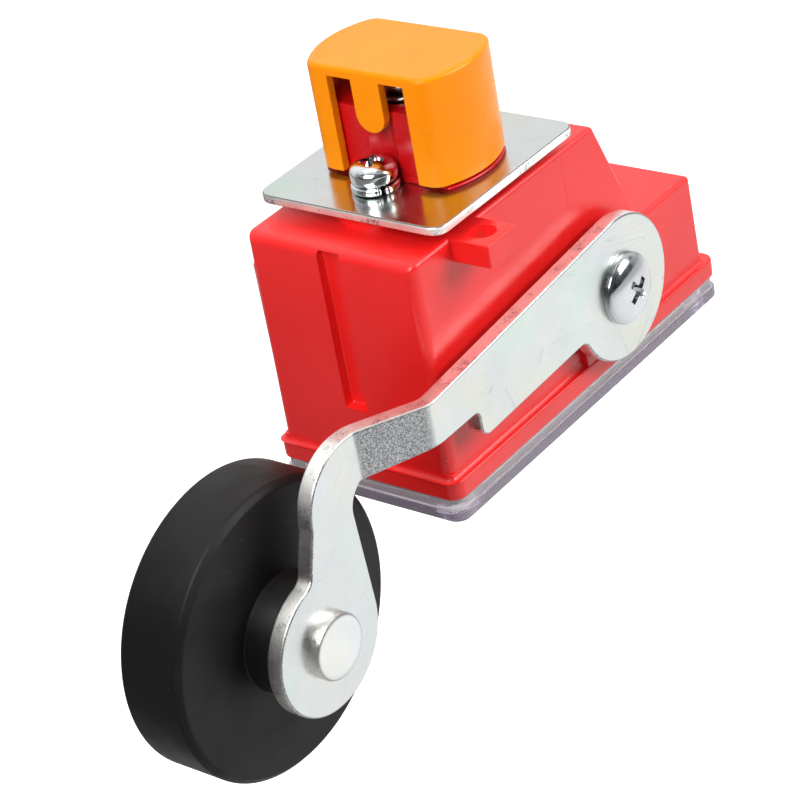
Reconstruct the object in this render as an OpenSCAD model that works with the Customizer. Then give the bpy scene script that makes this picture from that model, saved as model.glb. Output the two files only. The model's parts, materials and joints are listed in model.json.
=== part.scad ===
// Roller lever limit switch with a reset cap.
// Millimetres. The origin is the centre of the base cover's underside, +Z is up,
// +X points to the pivot end and the lever lies on the -Y side.

/* [Base] */
// Length of the base flange and its clear cover
base_l = 79.9; // [66:0.1:96]
// Width of the base flange and its clear cover
base_w = 37.2; // [31:0.1:45]
// Corner radius of the flange and the cover
base_r = 2.4; // [2:0.1:4]
// Height of the clear base cover
cover_h = 4; // [3.8:0.1:5]
// Floor thickness of the clear base cover
cover_floor = 2; // [1.5:0.1:2.2]
// How far the cover's rim wall stands in from its edge
rim_inset = 0.6; // [0.4:0.1:1]
// Thickness of the cover's rim wall
rim_t = 2.4; // [2.2:0.1:2.6]
// Height of the housing's base flange
flange_h = 3.5; // [3:0.1:5]

/* [Housing] */
// Height of the tall end above the cover's underside
tall_h = 46.4; // [40:0.2:56]
// Height of the low end above the cover's underside
low_h = 24.7; // [22:0.1:29]
// Length of the tall end's top face
tall_l = 50.7; // [46:0.1:60]
// Run of the sloping wall between the tall and the low end
slope_run = 9; // [5:0.5:11]
// Wall thickness
wall = 2.2; // [1.8:0.1:2.6]
// Lean of the side and end walls over their whole height
draft = 0.5; // [0.2:0.1:0.8]
// Flange ledge in front of the body
ledge_front = 0.7; // [0.5:0.1:1.5]
// Flange ledge behind the body
ledge_rear = 2.6; // [1.5:0.1:4]
// Flange ledge beside the body
ledge_side = 1.2; // [1:0.1:2]
// Corner radius of the body
body_r = 2.2; // [1:0.1:2.5]
// Width of the groove down the front face
groove_w = 4.5; // [3:0.1:6]
// Depth of the groove down the front face
groove_d = 1.8; // [1:0.1:2]
// Height where the groove starts
groove_z = 17; // [12:1:20]
// Distance from the groove's top end to the tall end's top face
groove_stop = 0.6; // [0.5:0.1:3]
// Height that the pad on the far side stands proud
pad_h = 1.8; // [0.8:0.1:2]
// Length of the pad on the far side
pad_l = 36; // [20:1:40]

/* [Mounting ears] */
// Hole in each ear
ear_hole_d = 4.5; // [3.4:0.1:5]
// Ear size along the body
ear_l = 7.6; // [7:0.1:9]
// How far an ear stands out from the body
ear_out = 7.4; // [7:0.1:9]
// Ear thickness
ear_t = 4.1; // [3:0.1:6]
// Distance of each ear from the head's centre, along the body
ear_dx = 11.4; // [10:0.1:14]

/* [Head plate] */
// Length of the steel plate
plate_l = 38.2; // [34:0.1:44]
// Width of the steel plate
plate_w = 36.8; // [34:0.1:44]
// Corner radius of the steel plate
plate_r = 2.6; // [1:0.1:4]
// Thickness of the steel plate
plate_t = 1.6; // [1:0.1:2.5]
// Height of the bosses under the plate
boss_h = 2.2; // [1.5:0.1:4]
// Diameter of the bosses under the plate
boss_d = 14; // [12:0.5:15]
// Distance of each plate screw from the head's centre
plate_screw_dx = 10.7; // [10.5:0.1:13]
// Plate screw thread
plate_screw_d = 4; // [4:1:5]
// Plate screw head diameter
plate_head_d = 7.8; // [7.6:0.1:9.5]

/* [Reset head] */
// Cap size between its two flats
cap_flat = 18.5; // [17:0.1:20]
// Cap size across its curved sides
cap_d = 29.1; // [27:0.1:32]
// Height of the cap above the plate
cap_h = 19.5; // [18:0.5:24]
// Wall thickness of the cap
cap_wall = 1.6; // [1.2:0.1:1.8]
// Thickness of the cap's top
cap_top = 1.7; // [1.4:0.1:2.5]
// Gap between the cap and the plate when the cap is down
cap_gap = 0.9; // [0.7:0.1:1.2]
// Travel of the cap when it springs up
cap_travel = 4; // [2:0.5:4]
// Width of the window in the cap's front
window_w = 15.1; // [13:0.1:16]
// Width of the snap tongue in the window
tongue_w = 5.6; // [5:0.1:7]
// Length of the snap tongue
tongue_l = 8.9; // [7:0.1:10]
// Plunger diameter
plunger_d = 5; // [4:0.5:5]
// Spring wire of the reset spring
reset_wire = 1; // [0.8:0.1:1.1]

/* [Lever] */
// Height of the pivot above the flange
pivot_up = 11.8; // [11:0.1:14]
// Distance of the pivot from the tall end's rear edge
pivot_back = 4.5; // [3:0.1:6]
// Lever thickness
lever_t = 3; // [2.5:0.1:3.5]
// Radius of the lever's boss round the pivot
lever_r = 12.7; // [11:0.1:14]
// Gap between the flange's side and the lever
lever_gap = 0.5; // [0.4:0.1:1.5]
// Drop of the lever's upper edge over its straight arm
arm_drop = 4.4; // [2:0.1:6]
// Depth of the arm's front stretch
arm_depth = 8.6; // [7:0.1:10]
// Depth of the arm behind the notch
arm_back_depth = 14; // [12:0.1:15]
// Distance from the housing's front to the joggle
joggle_gap = 6.6; // [6:0.1:10]
// Length of the joggle
joggle_l = 11.4; // [9:0.1:14]
// Outer radius of the elbow in front of the joggle
elbow_r = 10.4; // [9:0.1:12]
// Inner radius of the elbow
elbow_in_r = 4.2; // [3:0.1:5]
// Fillet between the leg and the round end
end_fillet = 2.4; // [1.5:0.1:3]
// Lever end's radius round the roller axle
lever_end_r = 11.9; // [9:0.1:13]
// Turn of the lever downwards, which sets the slide's travel
lever_turn = 30; // [15:1:30]

/* [Roller] */
// Roller diameter
roller_d = 50; // [42:1:54]
// Roller width
roller_w = 12.6; // [10:0.1:14]
// Chamfer on the roller's rims
roller_chamfer = 1; // [0.5:0.1:2]
// Hub diameter of the roller
hub_d = 20; // [16:0.5:22]
// Height that the hub stands out of the roller's face
hub_h = 4.6; // [2:0.1:6]
// Distance from the joggle's front end to the roller axle
axle_ahead = 14.2; // [13:0.1:18]
// Depth of the roller axle below the pivot
axle_drop = 22.4; // [18:0.1:26]
// Axle diameter
axle_d = 8; // [6:0.5:9]
// Diameter of the riveted head on the lever's outer face
rivet_head_d = 11; // [10:0.1:13]

/* [Switch works] */
// Shaft diameter
shaft_d = 8; // [7:0.5:9]
// Distance from the shaft to the crank's drive pin
crank_r = 7; // [6.5:0.1:7]
// Drive pin diameter
crank_pin_d = 3; // [2:0.5:3]
// Width of the contact slide
slide_w = 8; // [7:0.5:8]
// Height of the contact slide
slide_h = 6; // [5:0.5:6]
// Width of the contact strips
strip_w = 5; // [4.5:0.1:5.2]
// Thickness of the contact strips
strip_t = 1; // [0.8:0.1:1.2]
// Thread of the small screws
small_screw_d = 3; // [2.5:0.5:3]

/* [Fits] */
// Radial clearance of a turning or sliding round fit
run_fit = 0.05; // [0.02:0.01:0.1]
// Gap between pieces that pass each other
pass_gap = 0.35; // [0.3:0.05:0.5]
// Radial room round a screw's shank in a clearance hole
screw_room = 0.2; // [0.15:0.05:0.3]
// Radial room between a screw's crest line and the hole it bites in
thread_room = 0.05; // [0.02:0.01:0.1]

/* [Hidden] */
$fn = 64;
// Overlap of two shapes that join, overshoot of a cutter, and a cutter that goes right through
eps = 0.01;
cut = 1;
through = 40;

flange_top = cover_h + flange_h;
body_front = -base_l / 2 + ledge_front;
body_rear = base_l / 2 - ledge_rear;
half_w_low = base_w / 2 - ledge_side;
half_w_top = half_w_low - draft;
tall_rear = body_front + tall_l;
slope_foot = tall_rear + slope_run;
roof = tall_h - wall;
head_x = body_front + tall_l / 2;
plate_z = tall_h + boss_h;
plate_top = plate_z + plate_t;
insert_d = plate_screw_d + 2.4;
insert_l = 5.6;
insert_boss_d = insert_d + 2;
pad_front = body_front + 0.8;
pad_low = flange_top + 3;
pad_top = tall_h - 7.1;
entry_d = 10;
entry_z = flange_top + 7.6;

pivot_x = tall_rear - pivot_back;
pivot_z = flange_top + pivot_up;
lever_in = -(base_w / 2 + lever_gap);
lever_out = lever_in - lever_t;
joggle_start = body_front - joggle_gap;
joggle_end = joggle_start - joggle_l;
axle_x = joggle_end - axle_ahead;
axle_z = pivot_z - axle_drop;
washer_t = 0.8;
end_in = -(roller_w / 2 + hub_h + 2 * pass_gap + washer_t);
end_out = end_in - lever_t;

slide_z = pivot_z + shaft_d / 2 + 1;
slide_top = slide_z + slide_h;
pin_z = pivot_z + crank_r;
contact_x = head_x - 5;
bridge_t = 0.8;
tip_t = 0.6;
tip_d = 2.8;
tip_y = slide_w / 2 + strip_w / 2 + 0.4;
slide_reach = crank_r * lever_turn * PI / 180;
contact_gap = slide_reach + 0.4;
strip_dx = bridge_t / 2 + 2 * tip_t + contact_gap;
slab_z = flange_top + 3.5;
slab_t = 5;
slab_w = 2 * tip_y + strip_w;
slab_front = body_front + 5.2;
slab_rear = contact_x + strip_dx + strip_t + 9;
term_dx = strip_dx + strip_t + 4.6;
block_screw_y = half_w_top - wall - 2.4;
block_screw_bite = 5;
block_lug_d = 6;
fork_room = 0.3;

cover_screw_x = base_l / 2 - 5.8;
cover_screw_y = base_w / 2 - 5.6;
column_d = 7;
column_top = cover_h + 10;
cover_screw_l = 8;
rib_w = 1.2;
rib_h = 1;
rib_pitch = 20.4;
small_head_d = 1.85 * small_screw_d;
small_head_h = 0.7 * small_screw_d;
head_sink = 0.3;

bush_wall = 1.5;
bush_l = 6;
bush_d = shaft_d + 2 * bush_wall;
shaft_boss_d = bush_d + 5;
shaft_room = 0.2;
near_boss_out = 1;
near_wall_in = -half_w_top + wall;
near_bush_y = near_wall_in - 1.2;
far_bush_y = half_w_top - wall - bush_l;
seal_t = 1.6;
roll_pin_d = 2;

washer_h = 1.5;
plate_head_h = 3.6;
plate_screw_l = 11;
plunger_foot = slide_top + 0.8;
cap_z = plate_top + cap_gap;
cap_roof = plate_top + cap_h - cap_top;
guide_top = cap_roof - cap_travel - 1.7;
guide_seat_z = plate_top + 4.8;
spring_seat_r = plunger_d / 2 + 2 * reset_wire + 0.35;
neck_d = plunger_d + 4.6;
nut_h = 4;
clip_t = 0.8;
clip_d = plunger_d + 3.4;
clip_bore_d = plunger_d - 1.2;
clip_z = roof - nut_h - 0.6 - cap_travel - clip_t - pass_gap;
peg_d = plunger_d - 2;

crank_t = 3;
crank_y = -slide_w / 2 - pass_gap - 0.6 - crank_t;
crank_front = pivot_x - shaft_d / 2 - 2.2 - slide_h / 2;
window_l = 8;
window_wall = 1.2;
bridge_z = slide_z + slide_h / 2;
gasket_w = 1.1;
gasket_z = cover_h - 0.9;
lever_screw_d = 4;
lever_head_d = 12.4;
lever_head_rim = 0.8;
lever_head_r = 10.4;
rivet_neck_d = axle_d - 2;
rivet_head_h = 2;
rivet_tail_d = rivet_head_d + 1;
rivet_tail_h = 1.6;

// ---- shared shapes ----

// A plate with rounded corners, centred on the origin in plan
module rounded_plate(l, w, h, r) {
    linear_extrude(h) rounded_rect(l, w, r);
}

module rounded_rect(l, w, r) {
    square([l - 2 * r, w], center = true);
    square([l, w - 2 * r], center = true);
    for (sx = [-1, 1], sy = [-1, 1])
        translate([sx * (l / 2 - r), sy * (w / 2 - r)]) circle(r);
}

// Extrudes an outline drawn as (x, z) from y0 to y1
module along_y(y0, y1) {
    translate([0, y1, 0]) rotate([90, 0, 0]) linear_extrude(y1 - y0) children();
}

// Extrudes an outline drawn as (y, z) from x0 to x1
module along_x(x0, x1) {
    translate([x0, 0, 0]) rotate([90, 0, 90]) linear_extrude(x1 - x0) children();
}

// A cylinder along Y from y0 to y1, centred on (x, z)
module rod_y(x, z, d, y0, y1) {
    translate([x, y1, z]) rotate([90, 0, 0]) cylinder(d = d, h = y1 - y0);
}

// A ring along Y
module ring_y(x, z, d_out, d_in, y0, y1) {
    difference() {
        rod_y(x, z, d_out, y0, y1);
        rod_y(x, z, d_in, y0 - cut, y1 + cut);
    }
}

// A cross recess, cut downwards from z = 0
module cross_cut(size, depth) {
    for (a = [0, 90]) rotate(a)
        translate([-size / 2, -size / 8, -depth]) cube([size, size / 4, depth + cut]);
}

// A pan head screw whose head sits on z = 0 and whose shank hangs below
module pan_screw(d, head_d, head_h, l) {
    difference() {
        union() {
            translate([0, 0, -l]) cylinder(d = d, h = l);
            cylinder(d = head_d, h = head_h * 0.55);
            translate([0, 0, head_h * 0.55 - eps])
                cylinder(d1 = head_d, d2 = head_d * 0.72, h = head_h * 0.45 + eps);
        }
        translate([0, 0, head_h]) cross_cut(head_d * 0.55, head_h * 0.6);
    }
}

// A round bar swept along a helix about Z, with flat-cut ends
module coil(r, wire, h, turns, sides = 8, steps = 12) {
    n = ceil(turns * steps);
    points = [for (i = [0:n], j = [0:sides - 1])
        let (a = 360 * turns * i / n, b = 360 * j / sides, rr = r + wire / 2 * cos(b))
        [rr * cos(a), rr * sin(a), wire / 2 * sin(b) + wire / 2 + (h - wire) * i / n]];
    walls = [for (i = [0:n - 1], j = [0:sides - 1])
        let (k = (j + 1) % sides)
        [i * sides + j, (i + 1) * sides + j, (i + 1) * sides + k, i * sides + k]];
    ends = [[for (j = [0:sides - 1]) j], [for (j = [sides - 1:-1:0]) n * sides + j]];
    polyhedron(points, concat(walls, ends), convexity = 10);
}

// ---- housing ----

// The body's outer form, or its cavity when t is the wall
module body_form(t, floor_z) {
    lean = draft / 2;
    slope_t = t * 1.1;
    intersection() {
        along_y(-base_w / 2, base_w / 2) polygon([
            [body_front + t, floor_z],
            [body_front + lean + t, tall_h - t],
            [tall_rear - slope_t, tall_h - t],
            [slope_foot - slope_t, low_h - t],
            [body_rear - draft - t, low_h - t],
            [body_rear - t, floor_z]]);
        along_x(-base_l / 2, base_l / 2) polygon([
            [-half_w_low + t, floor_z],
            [-half_w_top + t, tall_h - t],
            [half_w_top - t, tall_h - t],
            [half_w_low - t, floor_z]]);
        translate([(body_front + body_rear) / 2, 0, floor_z])
            rounded_plate(body_rear - body_front - 2 * t, 2 * (half_w_low - t),
                tall_h, body_r);
    }
}

// A mounting ear; side is -1 on the lever side and 1 on the far side
module ear(side) {
    inner = half_w_top - wall;
    reach = half_w_top + ear_out;
    translate([head_x + side * ear_dx - ear_l / 2, side > 0 ? inner : -reach, tall_h - ear_t])
        cube([ear_l, reach - inner, ear_t]);
}

module ear_hole(side) {
    translate([head_x + side * ear_dx, side * (half_w_top + ear_out / 2), tall_h - ear_t - cut])
        cylinder(d = ear_hole_d, h = ear_t + 2 * cut);
}

module housing_outside() {
    translate([0, 0, cover_h]) rounded_plate(base_l, base_w, flange_h, base_r);
    body_form(0, cover_h);
    for (s = [-1, 1]) {
        ear(s);
        translate([head_x + s * plate_screw_dx, 0, tall_h - eps])
            cylinder(d = boss_d, h = boss_h + eps);
    }
    rod_y(pivot_x, pivot_z, shaft_boss_d, -half_w_low - near_boss_out, near_wall_in);
    translate([pivot_x - shaft_boss_d / 2, -half_w_low - near_boss_out, flange_top - eps])
        cube([shaft_boss_d, near_boss_out + wall, pivot_z - flange_top]);
    // pad on the far side, with a slanted front edge
    translate([pad_front, 0, pad_low]) linear_extrude(pad_top - pad_low) polygon([
        [0, 0], [0, half_w_top - draft], [pad_h + draft, half_w_low + pad_h],
        [pad_l, half_w_low + pad_h], [pad_l, 0]]);
}

// Columns, lugs and bosses that stand inside the cavity
module housing_inside() {
    for (sx = [-1, 1], sy = [-1, 1])
        translate([sx * cover_screw_x, sy * cover_screw_y, cover_h])
            cylinder(d = column_d, h = column_top - cover_h);
    for (s = [-1, 1]) {
        translate([contact_x, s * (block_screw_y + 0.6), slab_z + slab_t])
            cylinder(d = block_lug_d, h = block_screw_bite + 1.5);
        translate([head_x + s * plate_screw_dx, 0, roof - insert_l])
            cylinder(d = insert_boss_d, h = insert_l + eps);
    }
    rod_y(pivot_x, pivot_z, shaft_boss_d, near_wall_in - 1, near_bush_y + bush_l);
    rod_y(pivot_x, pivot_z, shaft_boss_d, far_bush_y, half_w_top - wall + 1);
    translate([body_front + wall - eps, -groove_w / 2 - wall, groove_z - wall])
        cube([groove_d, groove_w + 2 * wall, roof - groove_z + wall]);
}

module housing() color([0.89, 0.13, 0.13]) difference() {
    union() {
        difference() {
            housing_outside();
            body_form(wall, cover_h - cut);
        }
        intersection() {
            housing_inside();
            body_form(wall / 2, cover_h);
        }
    }
    // groove down the front face
    translate([body_front - cut, -groove_w / 2, groove_z])
        cube([cut + draft / 2 + groove_d, groove_w, tall_h - groove_stop - groove_z]);
    for (s = [-1, 1]) {
        ear_hole(s);
        translate([head_x + s * plate_screw_dx, 0, roof - insert_l - cut])
            cylinder(d = insert_d, h = plate_z - roof + insert_l + 2 * cut);
        translate([contact_x, s * block_screw_y, slab_z + slab_t - cut])
            cylinder(d = small_screw_d + 2 * thread_room, h = cut + block_screw_bite + 0.5);
    }
    for (sx = [-1, 1], sy = [-1, 1])
        translate([sx * cover_screw_x, sy * cover_screw_y, cover_h - cut])
            cylinder(d = small_screw_d + 2 * thread_room, h = cut + cover_screw_l);
    // neck of the reset guide
    translate([head_x, 0, roof - cut])
        cylinder(d = neck_d + 2 * screw_room, h = wall + boss_h + 2 * cut);
    // near bush, seal and shaft
    rod_y(pivot_x, pivot_z, bush_d, near_bush_y, near_bush_y + bush_l + cut);
    rod_y(pivot_x, pivot_z, shaft_d + 2 * seal_t, near_bush_y - seal_t - 0.2, near_bush_y + eps);
    rod_y(pivot_x, pivot_z, shaft_d + 2 * (run_fit + shaft_room), lever_out, near_bush_y);
    // far bush
    rod_y(pivot_x, pivot_z, bush_d, far_bush_y - cut, far_bush_y + bush_l);
    // cable entry in the low end's rear wall
    translate([body_rear - 2 * wall, 0, entry_z]) rotate([0, 90, 0])
        cylinder(d = entry_d, h = 3 * wall);
}

// ---- base ----

module base_cover() color([0.86, 0.9, 0.93, 0.35]) difference() {
    union() {
        rounded_plate(base_l, base_w, cover_floor, base_r);
        difference() {
            translate([0, 0, cover_floor - eps])
                rounded_plate(base_l - 2 * rim_inset, base_w - 2 * rim_inset,
                    cover_h - cover_floor + eps, base_r - rim_inset);
            translate([0, 0, cover_floor])
                rounded_plate(base_l - 2 * (rim_inset + rim_t), base_w - 2 * (rim_inset + rim_t),
                    cover_h, 1);
        }
        for (sx = [-1, 1], sy = [-1, 1])
            translate([sx * cover_screw_x, sy * cover_screw_y, cover_floor - eps])
                cylinder(d = column_d, h = cover_h - cover_floor + eps);
        // stiffening ribs across the floor
        for (i = [-1, 0, 1])
            translate([i * rib_pitch - rib_w / 2, -base_w / 2 + rim_inset + rim_t - eps,
                    cover_floor - eps])
                cube([rib_w, base_w - 2 * (rim_inset + rim_t) + 2 * eps, rib_h]);
    }
    for (sx = [-1, 1], sy = [-1, 1])
        translate([sx * cover_screw_x, sy * cover_screw_y, 0]) {
            translate([0, 0, -cut])
                cylinder(d = small_screw_d + 2 * screw_room, h = cover_h + 2 * cut);
            translate([0, 0, -cut])
                cylinder(d = small_head_d + 2 * head_sink, h = cut + small_head_h + head_sink);
        }
    translate([0, 0, gasket_z]) gasket_ring(0);
}

// The seal's ring: a band in the middle of the rim wall
module gasket_ring(room) {
    mid = rim_inset + rim_t / 2;
    outer = mid - gasket_w / 2 - room;
    inner = mid + gasket_w / 2 + room;
    difference() {
        rounded_plate(base_l - 2 * outer, base_w - 2 * outer, cover_h - gasket_z, 1.9);
        translate([0, 0, -cut])
            rounded_plate(base_l - 2 * inner, base_w - 2 * inner, cover_h, 0.9);
        // the ring steps inside each corner post, so it stays clear of the screws
        for (sx = [-1, 1], sy = [-1, 1])
            translate([sx * cover_screw_x, sy * cover_screw_y, -cut])
                cylinder(d = small_screw_d + 2 * screw_room + 1, h = cover_h);
    }
}

module cover_gasket() color([0.93, 0.93, 0.9]) translate([0, 0, gasket_z]) gasket_ring(0);

module cover_screws() color("silver")
    for (sx = [-1, 1], sy = [-1, 1])
        translate([sx * cover_screw_x, sy * cover_screw_y, small_head_h + head_sink])
            mirror([0, 0, 1]) pan_screw(small_screw_d, small_head_d, small_head_h, cover_screw_l);

// ---- head plate ----

module mount_plate() color([0.8, 0.81, 0.8]) difference() {
    translate([head_x, 0, plate_z]) rounded_plate(plate_l, plate_w, plate_t, plate_r);
    for (s = [-1, 1])
        translate([head_x + s * plate_screw_dx, 0, plate_z - cut])
            cylinder(d = plate_screw_d + 2 * screw_room, h = plate_t + 2 * cut);
    translate([head_x, 0, plate_z - cut])
        cylinder(d = neck_d + 2 * screw_room, h = plate_t + 2 * cut);
}

module thread_inserts() color([0.75, 0.6, 0.3])
    for (s = [-1, 1]) translate([head_x + s * plate_screw_dx, 0, roof - insert_l]) difference() {
        cylinder(d = insert_d, h = plate_z - roof + insert_l);
        translate([0, 0, -cut]) cylinder(d = plate_screw_d + 2 * thread_room, h = through);
    }

module plate_screws() color([0.8, 0.8, 0.8])
    for (s = [-1, 1]) translate([head_x + s * plate_screw_dx, 0, plate_top + washer_h])
        pan_screw(plate_screw_d, plate_head_d, plate_head_h, plate_screw_l);

module spring_washers() color([0.75, 0.75, 0.75])
    for (s = [-1, 1]) translate([head_x + s * plate_screw_dx, 0, plate_top]) difference() {
        split = 0.6;
        cylinder(d = plate_head_d + 0.3, h = washer_h);
        translate([0, 0, -cut]) cylinder(d = plate_screw_d + 2 * screw_room, h = through);
        rotate(-70) translate([0, -split / 2, -cut]) cube([plate_head_d, split, through]);
    }

// ---- reset head ----

// The cap's plan: a round cut by two flats that face along X
module head_plan(d, flat) {
    intersection() {
        circle(d = d);
        square([flat, d + 2], center = true);
    }
}

module reset_guide() color([0.8, 0.1, 0.12]) translate([head_x, 0, 0]) difference() {
    core_d = cap_d - 2 * (cap_wall + pass_gap);
    core_flat = cap_flat - 2 * (cap_wall + pass_gap);
    union() {
        translate([0, 0, plate_top]) linear_extrude(cap_gap - pass_gap)
            head_plan(cap_d + 0.2, core_flat + 1);
        translate([0, 0, plate_top]) linear_extrude(guide_top - plate_top)
            head_plan(core_d, core_flat);
        translate([0, 0, roof - nut_h - 0.6]) cylinder(d = neck_d, h = plate_top - roof + nut_h + 1);
    }
    // room round both plate screws
    for (s = [-1, 1]) translate([s * plate_screw_dx, 0, plate_top - cut])
        cylinder(d = plate_head_d + 1, h = cap_h);
    translate([0, 0, guide_seat_z]) cylinder(r = spring_seat_r, h = cap_h);
    translate([0, 0, roof - nut_h - 3]) cylinder(d = plunger_d + 2 * run_fit, h = through);
}

module guide_nut() color([0.75, 0.6, 0.3]) translate([head_x, 0, roof - nut_h]) difference() {
    rotate(30) cylinder(d = neck_d + 3.2, h = nut_h, $fn = 6);
    translate([0, 0, -cut]) cylinder(d = neck_d + 2 * thread_room, h = nut_h + 2 * cut);
}

module reset_cap() color([1, 0.6, 0.1]) translate([head_x, 0, 0]) difference() {
    translate([0, 0, cap_z]) linear_extrude(plate_top + cap_h - cap_z) head_plan(cap_d, cap_flat);
    translate([0, 0, cap_z - cut]) linear_extrude(cap_roof - cap_z + cut)
        head_plan(cap_d - 2 * cap_wall, cap_flat - 2 * cap_wall);
    // window in each flat, with the snap tongue left standing in it
    for (s = [0, 180]) rotate(s) difference() {
        translate([-cap_flat / 2 - cut, -window_w / 2, cap_z - cut])
            cube([cap_wall + 2 * cut, window_w, cap_roof - cap_z + cut]);
        translate([0, 0, cap_roof - tongue_l + tongue_w / 2])
            along_x(-cap_flat / 2 - cut, -cap_flat / 2 + cap_wall + cut) {
                circle(d = tongue_w);
                translate([-tongue_w / 2, 0]) square([tongue_w, tongue_l]);
            }
    }
    translate([0, 0, cap_roof - cut]) cylinder(d = peg_d, h = cut + cap_top / 2);
}

module reset_plunger() color([0.8, 0.8, 0.82]) translate([head_x, 0, 0]) difference() {
    union() {
        translate([0, 0, plunger_foot]) cylinder(d = plunger_d, h = cap_roof - plunger_foot);
        translate([0, 0, cap_roof - eps]) cylinder(d = peg_d, h = cap_top / 2 + eps);
    }
    // groove for the clip
    translate([0, 0, clip_z]) difference() {
        cylinder(d = plunger_d + cut, h = clip_t);
        translate([0, 0, -cut]) cylinder(d = clip_bore_d, h = clip_t + 2 * cut);
    }
}

module plunger_clip() color([0.35, 0.35, 0.38]) translate([head_x, 0, clip_z]) difference() {
    mouth = clip_bore_d - 0.8;
    cylinder(d = clip_d, h = clip_t);
    translate([0, 0, -cut]) cylinder(d = clip_bore_d, h = clip_t + 2 * cut);
    translate([0, -mouth / 2, -cut]) cube([clip_d, mouth, clip_t + 2 * cut]);
}

module reset_spring() color([0.45, 0.45, 0.48])
    translate([head_x, 0, guide_seat_z])
        coil(spring_seat_r - reset_wire / 2 - 0.2, reset_wire, cap_roof - guide_seat_z, 6);

// ---- lever ----

arm_rear_top = pivot_z + lever_r - 0.3;
arm_front_top = arm_rear_top - arm_drop;
arm_front_low = arm_front_top - arm_depth + 0.8;
notch_x = body_front + 4.1;
notch_r = 1.2;
heel_r = 2;
heel_z = arm_top(notch_x) - arm_back_depth;
neck_r = 2.4;
neck_z = heel_z + 0.6;

// Height of the arm's upper edge at x
function arm_top(x) = arm_rear_top - arm_drop * (pivot_x - x) / (pivot_x - joggle_start);

// Points on an arc from angle a0 to a1
function arc(c, r, a0, a1, steps = 12) =
    [for (i = [0:steps]) let (a = a0 + (a1 - a0) * i / steps) c + r * [cos(a), sin(a)]];

// Front end of the lever past the joggle, drawn as (x, z): a short run, an elbow,
// a leg and a round end, with a fillet where the leg meets the round end
function end_points() =
    let (
        top = arm_front_top,
        bottom = top - arm_depth,
        axle = [axle_x, axle_z],
        elbow = [joggle_end - 2.6, top - elbow_r],
        leg_out = axle_x - 0.9,
        fillet = [leg_out - end_fillet, axle_z
            + sqrt(pow(lever_end_r + end_fillet, 2) - pow(axle_x - leg_out + end_fillet, 2))],
        fillet_a = atan2(fillet[1] - axle_z, fillet[0] - axle_x),
        inner = [elbow[0] - 0.7 + elbow_in_r, bottom - elbow_in_r],
        reach = inner - [elbow_in_r, 0] - axle,
        tangent_a = atan2(reach[1], reach[0]) - acos(lever_end_r / norm(reach))
    )
    concat(
        arc(elbow, elbow_r, 90, 180),
        arc(fillet, end_fillet, 0, fillet_a - 180, 6),
        arc(axle, lever_end_r, fillet_a, 360 + tangent_a, 32),
        arc(inner, elbow_in_r, 180, 90));

// The whole lever seen from the side, drawn as (x, z)
module lever_outline() {
    notch = [notch_x - notch_r, arm_top(notch_x) - arm_depth - notch_r];
    heel = [notch_x + heel_r, heel_z + heel_r];
    neck_drop = pivot_z - neck_z + neck_r;
    neck_reach = sqrt(pow(lever_r + neck_r, 2) - pow(neck_drop, 2));
    neck = [pivot_x - neck_reach, neck_z - neck_r];
    translate([pivot_x, pivot_z]) circle(lever_r);
    polygon(concat(
        [[pivot_x, pivot_z], [pivot_x, arm_rear_top], [joggle_start, arm_front_top]],
        end_points(),
        [[joggle_start, arm_front_low]],
        arc(notch, notch_r, 90, 0, 6),
        arc(heel, heel_r, 180, 270, 6),
        arc(neck, neck_r, 90, atan2(neck_drop, neck_reach), 6)));
}

// The lever seen from above: a sheet that steps inwards over the joggle
module lever_plan() {
    bend_a = atan2(end_out - lever_out, joggle_l);
    skew = lever_t * tan(bend_a / 2);
    rear = pivot_x + lever_r + cut;
    front = axle_x - lever_end_r - cut;
    polygon([
        [rear, lever_out], [rear, lever_in],
        [joggle_start, lever_in], [joggle_end - skew, end_in],
        [front, end_in], [front, end_out],
        [joggle_end, end_out], [joggle_start + skew, lever_out]]);
}

module lever() color([0.85, 0.87, 0.86]) difference() {
    intersection() {
        along_y(lever_out - cut, end_in + cut) lever_outline();
        translate([0, 0, axle_z - lever_end_r - cut])
            linear_extrude(pivot_z + lever_r - axle_z + lever_end_r + 2 * cut) lever_plan();
    }
    shaft_square(lever_out - cut, lever_in + cut, run_fit);
    rod_y(axle_x, axle_z, rivet_neck_d + 2 * run_fit, end_out - cut, end_in + cut);
}

// The squared end of the shaft that drives the lever
module shaft_square(y0, y1, room) {
    s = shaft_d * 0.75 + 2 * room;
    translate([pivot_x - s / 2, y0, pivot_z - s / 2]) cube([s, y1 - y0, s]);
}

module shaft() color([0.7, 0.71, 0.73]) difference() {
    union() {
        rod_y(pivot_x, pivot_z, shaft_d, lever_in, far_bush_y + bush_l - 0.6);
        shaft_square(lever_out + 0.3, lever_in + eps, 0);
    }
    rod_y(pivot_x, pivot_z, lever_screw_d + 2 * thread_room, lever_out - cut, lever_out + 11);
    translate([pivot_x, crank_y + crank_t / 2, pivot_z - shaft_d])
        cylinder(d = roll_pin_d, h = 2 * shaft_d);
}

module lever_screw() color([0.85, 0.86, 0.87])
    translate([pivot_x, lever_out, pivot_z]) rotate([90, 0, 0]) difference() {
        union() {
            translate([0, 0, -9]) cylinder(d = lever_screw_d, h = 9);
            cylinder(d = lever_head_d, h = lever_head_rim);
            translate([0, 0, lever_head_rim]) intersection() {
                translate([0, 0, 2.2 - lever_head_r]) sphere(r = lever_head_r);
                cylinder(d = lever_head_d, h = 5);
            }
        }
        translate([0, 0, 3]) cross_cut(5.6, 1.8);
    }

module shaft_bushes() color([0.72, 0.56, 0.3]) {
    for (y = [near_bush_y, far_bush_y])
        ring_y(pivot_x, pivot_z, bush_d, shaft_d + 2 * run_fit, y, y + bush_l);
}

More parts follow.
